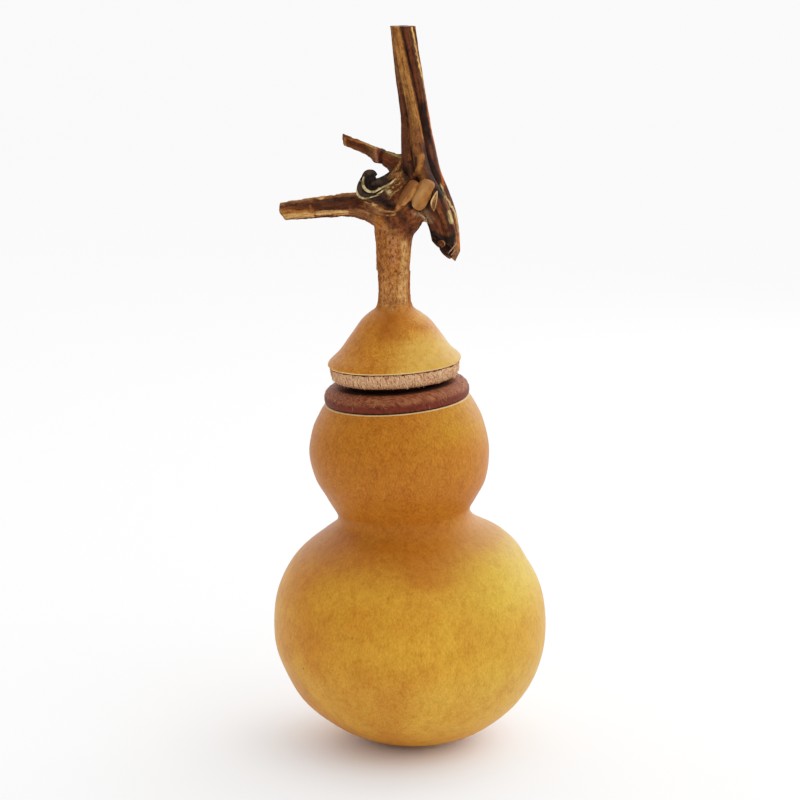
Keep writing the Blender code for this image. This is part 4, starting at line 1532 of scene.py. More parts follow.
JOINT_STROKES = [
    # The branch: a golden top edge, dark middle bands and a pale lower strip.
    ([(281, 203), (307, 199), (341, 194), (356, 192)], 4.0, BRANCH_TAN, 0.9),
    ([(281, 201.5), (307, 197.5), (341, 193)], 1.6, TAN, 0.9),
    ([(286, 205), (311, 205)], 2.6, DARK_BROWN, 0.9),
    ([(318, 204), (338, 203), (356, 204)], 7.5, DARK_BROWN, 0.75),
    ([(335, 200), (354, 198)], 1.8, NEAR_BLACK, 0.6),
    ([(319, 209.5), (333, 208.5), (348, 208)], 1.7, NEAR_BLACK, 0.65),
    ([(282, 213), (296, 214), (311, 213)], 4.6, TAN, 0.9),
    ([(285, 216.5), (300, 216.5), (312, 214.5)], 3.4, PALE_TAN, 0.9),
    ([(317, 213.5), (333, 212.5), (347, 212.5)], 2.6, PALE_TAN, 0.9),
    ([(310, 206), (312.5, 213)], 1.3, TAN, 0.8),
    ([(317, 197), (320, 198.5), (323, 197)], 1.8, PALE_TAN, 0.9),
    ([(290, 219.5), (316, 217.5), (332, 216)], 0.9, PURPLE_BROWN, 0.8),
    # The twig: brown with a tan lower edge, a pink-tan knuckle and a dark ring.
    ([(346, 141), (360, 145), (376, 152)], 3.0, BROWN, 0.8),
    ([(346, 148), (358, 152), (372, 160)], 2.0, TAN, 0.8),
    ([(345, 138), (345, 150)], 1.4, TAN, 0.8),
    ([(347, 138.5), (362, 142.5)], 1.1, GOLD_BROWN, 0.8),
    ([(371, 149), (374.5, 160)], 6.5, DULL_TAN, 0.75),
    ([(376.2, 147), (375.5, 155), (377.5, 163)], 1.8, PINK_TAN, 0.7),
    ([(362, 142.5), (375, 148)], 1.0, YELLOW, 0.6),
    ([(382.5, 151.5), (380.8, 157), (381, 163)], 2.8, RING_RUST, 0.95),
    ([(350, 143), (362, 147), (372, 152)], 1.2, DARK_BROWN, 0.7),
    # The twig's root, with its pale ragged top edge, and painted shade in the hollow under the vine.
    ([(388, 158), (392, 166), (392, 172)], 7.0, BROWN, 0.8),
    ([(387, 152), (395, 155), (402, 158)], 1.7, OLIVE, 0.9),
    ([(390, 173), (382, 182), (377, 184)], 4.0, DARK_BROWN, 0.85),
    ([(404, 168), (402, 180), (398, 190)], 7.0, DARK_BROWN, 0.8),
    ([(406, 172), (410, 182)], 5.0, NEAR_BLACK, 0.85),
    ([(401, 160), (398, 170), (390, 178), (383, 183)], 1.3, TAN, 0.85),
    ([(403, 168), (399, 179), (389, 186)], 1.2, TAN, 0.85),
    ([(399, 163), (394, 173), (386, 180)], 1.0, NEAR_BLACK, 0.8),
    ([(402, 184), (397, 191), (393, 200)], 4.5, BROWN, 0.8),
    # The torn pale patch and the dark lump by the curl, and the ridges of bark under them.
    ([(386, 189), (391, 193)], 4.6, GREY_BROWN, 0.7),
    ([(387, 188), (390, 194)], 3.0, CREAM, 0.75),
    ([(379, 197), (387, 202), (393, 207)], 8.0, PURPLE_BROWN, 0.9),
    ([(379, 198), (386, 204), (394, 209)], 4.0, NEAR_BLACK, 0.85),
    ([(368, 203), (374, 208), (380, 214)], 4.5, DULL_TAN, 0.8),
    ([(356, 206), (366, 211), (374, 219)], 1.6, DARK_BROWN, 0.7),
    ([(364, 200), (371, 203)], 2.0, DARK_BROWN, 0.8),
    ([(373, 204), (381, 210), (389, 213), (396, 211)], 1.7, PALE_TAN, 0.85),
    ([(384, 209), (392, 211)], 1.0, NEAR_BLACK, 0.8),
    ([(352, 213), (366, 213), (375, 219), (379, 230)], 4.5, DULL_TAN, 0.8),
    # Dark bark that runs down from the joint, over the stalk's golden left side and its tan right.
    ([(388, 216), (400, 222), (412, 236)], 9.0, BROWN, 0.85),
    ([(398, 210), (404, 220), (410, 232)], 5.0, DARK_BROWN, 0.75),
    ([(388, 216), (390, 228)], 2.6, DARK_BROWN, 0.7),
    ([(390, 230), (398, 238), (408, 243)], 8.0, DULL_TAN, 0.5),
    ([(402, 226), (408, 237)], 5.0, BROWN, 0.6),
    ([(378, 218), (379, 230), (380, 246)], 3.6, GOLD_BROWN, 0.9),
    ([(404, 244), (404, 270), (402, 300)], 5.0, PALE_TAN, 0.55),
    ([(392, 240), (393, 262)], 6.0, PINK_TAN, 0.3),
    ([(412, 240), (411.5, 262)], 1.8, STALK_EDGE, 0.9),
    # Painted shadows beside the pads, as near-black gaps, and the grey bark in the armpit.
    ([(402, 203), (398, 208)], 3.0, TAN, 0.7),
    ([(409, 202), (411, 207)], 3.4, NEAR_BLACK, 0.95),
    ([(428, 201), (425, 207)], 3.6, NEAR_BLACK, 0.95),
    ([(416, 213), (424, 216), (430, 220)], 5.0, GREY_BROWN, 0.75),
    ([(412, 212), (415, 214)], 1.6, PINK_TAN, 0.7),
    ([(416, 210), (420, 211)], 1.6, NEAR_BLACK, 0.8),
]


def lid_tip(settings, skin_settings):
    """The cap with its stalk, branch, twig and curled shoot, as one grown piece."""
    made = joined("lid_tip", [cap_loft(), joint_skin(settings)], bridged=True)
    points = points_of(made)
    whole_stalk = [(-4.0, 0.0, 100.0, 4.2), (-4.0, 0.0, 108.0, 4.1), *STALK_ROUTE]
    stems = [whole_stalk, BRANCH_ROUTE, TWIG_ROUTE, CURL_ROUTE]
    which, along, local, weights = nearest_on_stems(points, stems)
    z = points[:, 2]
    wander = grown_noise(points, 2.4, 1.5)
    bark = ease((z + 0.8 * wander - BARK_FOOT_Z) / 4.0)
    run = np.where(which == 0, 0.5, 0.13)
    grain = np.column_stack((local[:, 0] * 4.0, local[:, 1] * 4.0, along * run + which * 40.0))
    ridges = grown_noise(grain, 0.55, 2.0, 3)
    joint = ease((z - JOINT_FOOT_Z) / 4.0)
    lumps = grown_noise(points, 1.3, 6.0, 3)
    pits = np.clip(-grown_noise(grain, 0.42, 8.0, 2) - 0.45, 0.0, 1.0)
    push_out(made, bark * (0.10 * ridges - 0.35 * pits) + joint * 0.22 * lumps)
    across = points[:, 0] + 1.2 * wander
    # Painted light: where the light falls on the cap's right side and lower part, with a lit spot near its top
    # right.
    light = ease((across + 10.5) / 14.0) * ease((109.5 - z) / 7.0)
    light = np.maximum(light, 0.5 * hump(across, 3.0, 3.0) * hump(z, 110.2, 2.0))
    # Painted shade: dark near the stalk's foot, and on the cap's left side away from the light.
    dark = hump(across, -5.5, 4.6) * hump(z, 109.0, 5.0)
    left = ease((-across - 3.0) / 8.0) * ease((z - 98.0) / 7.0)
    mark(made, "bark", bark)
    mark(made, "cap_light", light)
    mark(made, "cap_shade", np.maximum(dark, 0.4 * left) * (1 - bark))
    mark_vector(made, "grain", grain)
    mark_colour(made, "tone", joint_tones(made, weights, local))
    return dress(made, lid_skin(skin_settings), "gourd_lid", 50.0)


# The vine

VINE_SIDES = 120
VINE_ROWS = 280
VINE_RIB_TONES = [BROWN, GOLD_BROWN, DARK_BROWN, TAN, BROWN]
VINE_RIB_TURN = math.radians(89.0)
VINE_RIB_START = math.radians(5.0)
GROOVE_WIDTH = 0.07
VINE_STROKES = [
    # Upper part: tan rib, groove darkened partly as painted shade, dark flank, a yellow line painted as a
    # highlight on the lit right edge, and the dark sliver outside it.
    ([(395, 26), (400, 52), (404, 80), (411, 108), (416, 130)], 6.2, RIB_TAN, 0.9),
    ([(416, 130), (420, 150), (419, 160)], 5.0, LOW_TAN, 0.9),
    ([(396, 30), (401, 60)], 3.0, GOLD_BROWN, 0.5),
    ([(406, 28), (412, 55), (417, 82), (422, 100)], 4.6, BROWN, 0.8),
    ([(410, 30), (415, 60), (419, 84)], 1.4, DARK_BROWN, 0.6),
    (
        [(400.6, 26), (406.5, 55), (412.8, 82), (417, 99), (421, 118), (426, 138), (427, 156), (421, 170)],
        1.6, DARK_BROWN, 0.9,
    ),
    ([(424, 106), (429, 128), (433, 148)], 5.0, NEAR_BLACK, 0.85),
    ([(412, 28), (417, 54), (420.6, 70), (423.4, 83), (426, 94)], 0.8, YELLOW, 0.95),
    # Painted highlight: an orange line along the vine's lit right edge.
    ([(426.5, 97), (430.6, 124), (433.5, 138), (440, 166), (444, 186)], 1.5, ORANGE_EDGE_HIGHLIGHT, 0.95),
    ([(414.4, 28), (419, 48), (422, 66), (426, 84)], 1.5, DARK_BROWN, 0.9),
    # Left rib below, with a dark red edge, a streak and painted shade in the slot by the tan rib's hooked end.
    ([(401, 100), (404, 120), (406, 145), (407, 168)], 5.5, LEFT_BROWN, 0.85),
    ([(400, 90), (402.5, 118), (403, 160), (404, 176)], 1.4, RED_BROWN, 0.55),
    ([(403, 95), (407, 112), (411, 135), (412, 155)], 1.6, DARK_BROWN, 0.8),
    ([(407, 118), (410, 140), (410, 160)], 1.4, GOLD_BROWN, 0.6),
    ([(416, 158), (416.5, 166), (412, 174)], 1.8, NEAR_BLACK, 0.9),
    ([(405, 172), (404, 184)], 6.0, NEAR_BLACK, 0.8),
    ([(428, 146), (432, 168), (434, 188)], 9.0, PURPLE_BROWN, 0.95),
    ([(426, 150), (430, 162), (436, 180)], 3.0, NEAR_BLACK, 0.7),
    ([(430, 146), (433, 158)], 1.6, BROWN, 0.6),
    ([(438, 189), (440.5, 199), (441, 207)], 3.4, NEAR_BLACK, 0.85),
    # Painted shadow beside the right pad.
    ([(430, 197), (427, 204), (424, 210)], 4.4, NEAR_BLACK, 0.95),
    ([(424, 213), (428, 216), (430, 220)], 5.0, GREY_BROWN, 0.8),
    ([(441, 207), (444, 214)], 3.0, BROWN, 0.7),
    ([(422, 156), (420, 166), (416, 174)], 3.2, TAN, 0.9),
    # The stub: a brown left face, a dark line, a pale right ridge and an orange edge painted as a highlight on
    # its lit right side.
    ([(438, 205), (440, 220), (444, 236)], 7.0, BROWN, 0.8),
    ([(441, 192), (446, 212), (452, 232), (453, 246)], 3.6, NEAR_BLACK, 0.85),
    ([(445, 199), (450, 210), (455, 226)], 3.2, BROWN, 0.75),
    ([(456, 214), (458.4, 226), (459, 238)], 2.2, PALE_TAN, 0.8),
    ([(449, 212), (451.5, 222)], 2.2, CREAM, 0.7),
    ([(440.5, 184), (445.5, 196), (452, 207), (456.5, 216)], 0.9, CREAM, 0.9),
    ([(444, 186), (450, 198), (456, 210)], 1.3, RED_BROWN, 0.9),
    ([(458.5, 234), (459.5, 246), (456, 254)], 2.0, ORANGE_EDGE_HIGHLIGHT, 0.85),
    ([(436, 222), (434, 236)], 2.0, RED_BROWN, 0.7),
    # The sawn end: painted near-black as the shade in its hollow, with a small tan ring of wood left in it.
    ([(433, 233.5), (440, 238), (448, 240), (455, 238)], 4.6, NEAR_BLACK, 0.95),
    ([(436, 240), (444, 246), (451, 248), (454, 240)], 6.0, NEAR_BLACK, 0.95),
    ([(447, 231), (452, 226), (455, 234)], 2.6, PITH_RUST, 0.85),
    ([(431.5, 239), (438, 245.5), (446, 252)], 1.5, TAN, 0.85),
    ([(458.8, 238), (457.6, 247), (454, 257)], 4.0, TAN, 0.9),
    ([(459.3, 236), (459.3, 246)], 1.4, ORANGE_EDGE_HIGHLIGHT, 0.8),
]


def vine_stem(settings):
    """The main vine with its crisp twisting ribs, cut level at its top and obliquely at its hollow foot."""
    middles, radii, turns = stem_frames(VINE_ROUTE, VINE_ROWS)
    lengths = lengths_along(middles)
    angles = angles_round(VINE_SIDES)
    rings, grain, rib_place = [], [], []
    for index in range(VINE_ROWS):
        turn = VINE_RIB_START + VINE_RIB_TURN * index / (VINE_ROWS - 1)
        own = (angles - turn) % (2 * math.pi)
        ribs_round = own * RIBS / (2 * math.pi)
        share = ribbed(angles, settings.rib_depth, turn)
        share = share - settings.groove_depth * hump(ribs_round % 1.0, 0.5, GROOVE_WIDTH)
        rings.append(flat_ring(radii[index] * share, angles) @ turns[index] + middles[index])
        drawn_out = np.full(VINE_SIDES, lengths[index] * 0.09)
        grain.append(np.column_stack((3.4 * np.cos(own), 3.4 * np.sin(own), drawn_out)))
        rib_place.append(ribs_round)
    made = loft("vine_stem", rings, low_pole=middles[0], high_pole=middles[-1])
    grain = np.vstack((*grain, grain[0][:1], grain[-1][:1]))
    rib_place = np.concatenate((*rib_place, (0.0, 0.0)))
    streaks = grown_noise(grain, 0.5, 3.0, 3)
    push_out(made, 0.10 * streaks - 0.05)
    mark_vector(made, "grain", grain)
    mark(made, "rib", rib_place)
    cut_away(made, VINE_TOP_CUT, VINE_CORNER_CUT)
    edited(made, hollow_foot)
    mark_colour(made, "tone", vine_tones(made))
    return dress(made, vine_bark(), "gourd_lid", 55.0)


def vine_tones(made):
    """The vine's colours: one for each rib, near-black in the grooves as partly painted shade, with the front's
    streaks over them.
    """
    points = points_of(made)
    wander = 0.12 * grown_noise(points * np.array((1.0, 1.0, 0.25)), 1.8, 4.0)
    place = (marked(made, "rib") + wander) % RIBS
    rib = np.rint(place).astype(int) % RIBS
    tones = np.array(VINE_RIB_TONES)[rib]
    inside = np.abs(place - np.rint(place))
    # Partly painted shade: the grooves between the ribs are darkened towards near-black.
    tones = blend_colours(tones, NEAR_BLACK, ease((inside - 0.33) / 0.12) * 0.85)
    lower = ease((160.0 - points[:, 2]) / 14.0)
    tones = blend_colours(tones, DARK_BROWN, lower * 0.7)
    tones = painted(made, tones, VINE_STROKES)
    # Painted shade: the sunk faces of the hollow foot are darkened almost to black.
    return blend_colours(tones, HOLLOW_SHADE, marked(made, "hollow") * 0.95)


# The hollow's steps from the sawn edge inwards: how far each ring shrinks, and how much deeper it lies, in mm.
# The first, which is level with the edge, also lies a little aside, so that the wood is thicker on one side.
HOLLOW_STEPS = [(0.86, 0.0), (0.95, 0.25), (0.97, 0.6), (0.95, 0.9), (0.9, 0.9), (0.8, 0.7), (0.5, 0.4)]
HOLLOW_ASIDE = (-0.28, 0.0, 0.16)


def hollow_foot(work):
    """Cuts the vine's foot off obliquely, leaves a ragged ring of wood and sinks the rotted pith inside it,
    marking the sunk faces for painted shade.
    """
    hollow = work.verts.layers.float.new("hollow")
    face = bmesh.ops.contextual_create(work, geom=sliced(work, *VINE_FOOT_CUT))["faces"][0]
    stem_way = (Vector(VINE_ROUTE[2][:3]) - Vector(VINE_ROUTE[1][:3])).normalized()
    for shrink, depth in HOLLOW_STEPS:
        face = bmesh.ops.extrude_discrete_faces(work, faces=[face])["faces"][0]
        middle = face.calc_center_median()
        aside = Vector() if depth else Vector(HOLLOW_ASIDE) * MM
        for vertex in face.verts:
            vertex.co = middle.lerp(vertex.co, shrink) + aside
            vertex[hollow] = 1.0 if depth else 0.0
        bmesh.ops.translate(work, verts=face.verts, vec=stem_way * depth * MM)
    bmesh.ops.triangulate(work, faces=[face])
    face_outwards(work)


# The joint's pads, curled strips, scraps and fibres

PAD_BROWNS = (colour(132, 80, 34), colour(154, 100, 48))
PAD_LIGHT_STREAK = colour(176, 126, 72)
PAD_DARK_STREAK = colour(98, 54, 24)
# The colour of the painted highlight on the right pad's left edge.
PAD_RIDGE_HIGHLIGHT = colour(184, 136, 84)
PAD_WORN = colour(98, 56, 28)
PAD_TOP_BROWN = colour(108, 60, 26)

# How far a place lies across the slanting pads: its x by the first share, less its height by the second.
# Then the distances across, and the heights, that each change of colour runs between.
PAD_ACROSS = (0.84, 0.545)
PAD_WORN_SIDE = (-76.3, -77.4)
PAD_RIDGE_LEFT = (-76.1, -75.4)
PAD_RIDGE_RIGHT = (-73.6, -74.4)
PAD_TOP = (141.0, 144.5)


def shoot_pads():
    """Two smooth pads where side shoots broke off, streaked along their length."""
    material, board, shader = new_material("shoot_pad", 0.6)
    place = board.object_place()
    along = board.stretched(place, (1.0, 1.0, 4.0), (0.0, math.radians(32.0), 0.0))
    fine = board.clouds(along, 0.45, 4.0, 0.3)
    broad = board.clouds(place, 2.2, 3.0, 0.4)
    height = board.along(place, "Z")
    across = board.along(place, "X") * PAD_ACROSS[0] - height * PAD_ACROSS[1] + (fine - 0.5) * 1.6
    worn = board.step(across + (broad - 0.5) * 2.0, *PAD_WORN_SIDE)
    ridge = board.step(across, *PAD_RIDGE_LEFT) * board.step(across, *PAD_RIDGE_RIGHT)
    top = board.step(height + (broad - 0.5) * 3.0, *PAD_TOP)
    base = board.mixed(board.step(broad, 0.35, 0.7), *PAD_BROWNS)
    base = board.mixed(board.step(fine, 0.5, 0.72) * 0.45, base, PAD_LIGHT_STREAK)
    base = board.mixed(board.step(fine, 0.46, 0.28) * 0.5, base, PAD_DARK_STREAK)
    # Painted highlight: a pale band along the right pad's left edge.
    base = board.mixed(ridge * 0.4, base, PAD_RIDGE_HIGHLIGHT)
    base = board.mixed(worn * 0.75, base, PAD_WORN)
    base = board.mixed(top * 0.55, base, PAD_TOP_BROWN)
    finish_shader(board, shader, base, 0.5 + fine * 0.2, board.bump(fine, 0.08, 0.6))
    form = (48, 32, PAD_BLUNT, PAD_TAPER)
    parts = [rounded_form(f"pad_{index}", *facts, *form) for index, facts in enumerate(PADS)]
    made = joined("shoot_pads", parts)
    push_out(made, 0.18 * grown_noise(points_of(made), 1.8, 2.0))
    return dress(made, material, "gourd_lid", 80.0)


# The strips' marks in the reference view, as (pixel x, pixel y, depth y in mm, width in mm).
CURL_STRIPS = [
    [
        (365.2, 173.6, -6.6, 0.25), (363.6, 178.0, -7.2, 0.45), (362.9, 184.0, -7.6, 0.65),
        (364.8, 188.6, -7.9, 0.7), (368.5, 191.2, -8.0, 0.65), (373.0, 191.9, -8.0, 0.55),
        (376.6, 190.6, -7.9, 0.45), (379.0, 187.8, -7.6, 0.25),
    ],
    [
        (360.9, 180.0, -6.4, 0.2), (358.3, 185.5, -6.8, 0.4), (357.2, 190.5, -7.1, 0.6),
        (358.2, 195.0, -7.3, 0.65), (361.2, 197.6, -7.5, 0.6), (365.5, 198.2, -7.6, 0.55),
        (370.0, 197.3, -7.6, 0.4), (380.0, 194.6, -7.4, 0.06),
    ],
    [
        (376.0, 191.5, -7.9, 0.25), (380.5, 188.4, -7.8, 0.45), (386.0, 185.8, -7.4, 0.5),
        (391.5, 182.6, -6.9, 0.4), (396.0, 177.8, -6.3, 0.2),
    ],
    [
        (376.8, 194.2, -7.6, 0.2), (381.0, 192.0, -7.6, 0.4), (385.0, 188.6, -7.4, 0.35),
        (390.0, 186.4, -6.9, 0.2),
    ],
]
DARK_STRIPS = [
    [
        (369.0, 180.0, -6.4, 1.4), (374.0, 182.6, -6.4, 2.0), (381.0, 181.0, -6.0, 2.0),
        (388.0, 175.6, -5.2, 1.3), (393.0, 170.0, -4.4, 0.7),
    ],
    [
        (376.6, 175.0, -6.2, 0.7), (372.5, 172.2, -6.6, 1.3), (366.8, 173.4, -6.9, 1.6),
        (363.6, 178.5, -7.0, 1.4),
    ],
    [
        (360.5, 181.5, -7.0, 1.0), (359.8, 188.0, -7.3, 1.5), (362.5, 193.5, -7.6, 1.4),
        (368.5, 195.3, -7.6, 1.1), (374.0, 194.4, -7.5, 0.6),
    ],
]
SCRAPS = [
    [
        (364.5, 201.6, -6.0, 0.2), (367.6, 202.4, -6.3, 0.5), (370.4, 203.4, -6.2, 0.2),
    ],
    [
        (374.0, 204.4, -6.0, 0.2), (379.0, 208.6, -6.5, 0.5), (386.0, 211.0, -6.6, 0.5),
        (393.0, 211.6, -6.2, 0.2),
    ],
    [
        (381.0, 213.4, -5.8, 0.2), (388.0, 215.2, -6.2, 0.5), (394.0, 214.6, -6.2, 0.4),
        (397.5, 211.0, -6.0, 0.2),
    ],
]
BRACT_EDGES = [
    [
        (437.2, 191.0, -6.9, 0.15), (434.0, 196.0, -7.2, 0.35), (431.6, 201.5, -7.2, 0.42),
        (431.6, 206.0, -6.8, 0.35), (434.0, 211.0, -6.2, 0.15),
    ],
    [
        (437.2, 191.0, -6.9, 0.15), (436.9, 197.0, -7.3, 0.2), (436.2, 203.0, -7.2, 0.2),
        (434.4, 210.0, -6.4, 0.15),
    ],
]
BRACT = [
    (437.0, 192.0, -6.7, 0.2), (434.8, 198.0, -7.0, 0.9), (433.8, 204.0, -6.9, 1.0),
    (434.0, 210.0, -6.2, 0.3),
]

# The small ring of wood left in the vine's hollow foot.
PITH_RING = [
    (438.0, 244.8, -6.3, 0.12), (438.8, 241.8, -6.4, 0.25), (441.6, 240.6, -6.5, 0.32),
    (444.3, 242.4, -6.5, 0.3), (444.3, 245.2, -6.4, 0.28), (441.6, 247.2, -6.2, 0.12),
]
PITH = [
    (439.6, 242.6, -6.1, 0.5), (441.2, 244.0, -6.2, 1.2), (442.8, 245.4, -6.1, 0.5),
]


def strip_material(name, low, high, roughness=0.65):
    material, board, shader = new_material(name, roughness)
    place = board.object_place()
    fine = board.clouds(place, 1.3, 4.0, 0.3)
    base = board.mixed(board.step(fine, 0.36, 0.62), low, high)
    finish_shader(board, shader, base, None, board.bump(fine, 0.08, 0.6))
    return material


def strip_group(name, routes, thickness, facing, material):
    """Several dry strips of one kind, as one piece."""
    parts = []
    for index, route in enumerate(routes):
        parts.append(ribbon(f"{name}_{index}", seen_route(route), thickness, facing))
    made = joined(name, parts)
    push_out(made, 0.02 * grown_noise(points_of(made), 0.7, 1.0))
    return dress(made, material, "gourd_lid", 80.0)


def dry_curl():
    """The curled dry shoot's split strips: dark skins with pale edges painted as a highlight where they catch
    the light, and torn scraps of bark by it.
    """
    facing = (0.0, -1.0, 0.2)
    facing_right = (0.3, -1.0, 0.2)
    # Painted highlight: the strips' pale edges stand for where they catch the light.
    pale = strip_material("curl_edge", colour(96, 78, 48), colour(190, 168, 120))
    dark = strip_material("curl_skin", colour(20, 14, 10), colour(54, 38, 27))
    torn = strip_material("torn_bark", colour(92, 54, 28), colour(160, 110, 64))
    leaf = strip_material("bract_edge", colour(124, 82, 46), colour(206, 164, 110))
    strip_group("curl_edges", CURL_STRIPS, 0.42, facing, pale)
    strip_group("curl_skins", DARK_STRIPS, 0.6, facing, dark)
    strip_group("bark_scraps", SCRAPS, 0.3, facing, torn)
    ring = strip_material("pith_edge", colour(78, 42, 20), colour(138, 92, 50))
    pith = strip_material("pith", colour(58, 26, 12), colour(104, 58, 28))
    strip_group("bract", [BRACT], 0.25, facing_right, torn)
    strip_group("bract_edges", BRACT_EDGES, 0.3, facing_right, leaf)
    strip_group("pith_ring", [PITH_RING], 0.3, facing, ring)
    strip_group("pith", [PITH], 0.3, facing, pith)


# The guides of the loose fibres, as marks of the same kind, whose width isn't used.
FAN_GUIDES = [
    [(401.5, 160.0, -3.2, 0), (397.5, 167.0, -4.6, 0), (392.5, 173.0, -5.4, 0), (387.5, 177.5, -5.9, 0)],
    [(402.5, 170.0, -4.6, 0), (398.0, 177.0, -5.6, 0), (392.0, 182.0, -6.4, 0), (385.0, 185.5, -7.0, 0)],
    [(403.5, 178.0, -5.2, 0), (399.5, 183.5, -6.0, 0), (393.0, 187.0, -6.7, 0), (385.5, 189.5, -7.2, 0)],
    [(403.0, 185.0, -5.8, 0), (398.0, 190.0, -6.4, 0), (392.0, 194.5, -6.7, 0), (388.0, 199.0, -6.6, 0)],
]
FOOT_GUIDES = [
    [(457.6, 240.0, -6.6, 0), (454.5, 245.0, -6.7, 0), (451.0, 250.0, -6.4, 0), (448.0, 253.4, -6.0, 0)],
    [(458.0, 245.0, -6.4, 0), (455.5, 249.0, -6.4, 0), (453.0, 252.5, -6.1, 0), (450.5, 255.4, -5.8, 0)],
]
ARMPIT_GUIDES = [
    [(419.0, 213.0, -5.6, 0), (423.0, 216.0, -5.6, 0), (426.5, 219.5, -5.2, 0), (428.5, 223.5, -4.6, 0)],
    [(432.5, 209.0, -5.2, 0), (429.5, 214.0, -5.4, 0), (427.0, 218.0, -5.2, 0), (425.5, 222.0, -4.6, 0)],
]


def loose_fibres():
    """Fibres torn loose at the joint, in the armpit and at the hollow foot."""
    brown = fibre_material("joint_fibre", colour(58, 33, 17), colour(158, 110, 60))
    grey = fibre_material("grey_fibre", colour(116, 84, 60), colour(184, 144, 108))
    plans = [
        ("joint_fibres", FAN_GUIDES, 10, 0.30, 0.07, 1.0, brown),
        ("foot_fibres", FOOT_GUIDES, 5, 0.12, 0.08, 2.0, grey),
        ("armpit_fibres", ARMPIT_GUIDES, 7, 0.4, 0.05, 3.0, grey),
    ]
    for name, guides, count, spread, thickness, seed, material in plans:
        values = {
            "Strands": count,
            "Spread": spread * MM,
            "Thickness": thickness * MM,
            "Seed": seed,
            "Material": material,
        }
        made = strands(name, [seen_route(guide) for guide in guides], values)
        dress(made, material, "gourd_lid", 80.0)


# The stage


# The tone curve's white point, how far it bends and its number of steps.
TONE_WHITE = 1.694
TONE_BEND = 1.677
TONE_STEPS = 10

FLOOR_REACH = 3000.0

# The lights, as (place, size) in millimetres. Their powers are settings of the same names.
LIGHTS = {
    "key": ((350.0, -250.0, 600.0), 400.0),
    "fill": ((-500.0, -300.0, 120.0), 500.0),
    "rim": ((350.0, 350.0, 300.0), 400.0),
}
LIT_MIDDLE = (0.0, 0.0, 90.0)


def pale_floor(settings):
    """A plain pale floor that runs well past the view."""
    near, far = -FLOOR_REACH, FLOOR_REACH * 2
    points = [(near, near, 0.0), (-near, near, 0.0), (-near, far, 0.0), (near, far, 0.0)]
    made = mesh_object("floor", points, [(0, 1, 2, 3)])
    material, _, shader = new_material("floor", 0.9)
    shader.inputs["Base Color"].default_value = (*settings.floor_colour, 1.0)
    made.data.materials.append(material)


def soft_light(name, place, size, power):
    """A square area light that looks at the jar's middle. Its place and size are in millimetres."""
    light = bpy.data.lights.new(name, "AREA")
    light.shape = "SQUARE"
    light.size = size * MM
    light.energy = power
    made = linked(name, light)
    made.location = Vector(place) * MM
    made.rotation_euler = (Vector(LIT_MIDDLE) - Vector(place)).to_track_quat("-Z", "Y").to_euler()
    made.visible_camera = False


def reference_camera():
    camera = bpy.data.cameras.new("camera")
    camera.sensor_width = SENSOR
    camera.lens = LENS
    camera.clip_start = 0.01
    made = linked("camera", camera)
    back = Vector((0.0, -VIEW_COS, VIEW_SIN))
    made.location = (Vector(VIEW_TARGET) + back * VIEW_DISTANCE) * MM
    made.rotation_euler = (math.pi / 2 - VIEW_ELEVATION, 0.0, 0.0)
    bpy.context.scene.camera = made


def pale_surroundings(settings):
    """Soft light from behind, from the right and from above, in front of a plain white backdrop."""
    world = bpy.data.worlds.new("surroundings")
    world.use_nodes = True
    board = Board(world.node_tree)
    way = board.add("ShaderNodeTexCoord", output="Generated")
    seen = board.add("ShaderNodeLightPath", output="Is Camera Ray")
    strength = seen * settings.backdrop
    sides = {(0.0, 1.0, 0.0): settings.behind, (1.0, 0.0, 0.0): settings.right, (0.0, 0.0, 1.0): settings.above}
    for side, power in sides.items():
        lit = board.add("ShaderNodeMath", {"operation": "MAXIMUM"}, {0: board.dot(way, side), 1: 0.0})
        strength = strength + lit * power * (1.0 - seen)
    background = world.node_tree.nodes["Background"]
    background.inputs["Color"].default_value = (1.0, 1.0, 1.0, 1.0)
    world.node_tree.links.new(strength.socket, background.inputs["Strength"])
    bpy.context.scene.world = world


def soft_tones():
    """Display tones that roll off gently towards white, as a camera's do."""
    view = bpy.context.scene.view_settings
    view.view_transform = "Standard"
    view.use_curve_mapping = True
    mapping = view.curve_mapping
    mapping.white_level = (TONE_WHITE, TONE_WHITE, TONE_WHITE)
    curve = mapping.curves[3]
    for step in range(1, TONE_STEPS):
        share = (step / TONE_STEPS) ** 2
        value = (1 - math.exp(-TONE_BEND * share)) / (1 - math.exp(-TONE_BEND))
        curve.points.new(share, value)
    mapping.update()


# Settings


def colour_setting(name, description, default):
    return bpy.props.FloatVectorProperty(
        name=name, description=description, subtype="COLOR", min=0.0, max=1.0, default=default
    )


def share_setting(name, description, default, high=1.0):
    return bpy.props.FloatProperty(
        name=name, description=description, subtype="FACTOR", min=0.0, max=high, default=default
    )


def amount_setting(name, description, default, low=0.0, **more):
    return bpy.props.FloatProperty(name=name, description=description, min=low, default=default, **more)


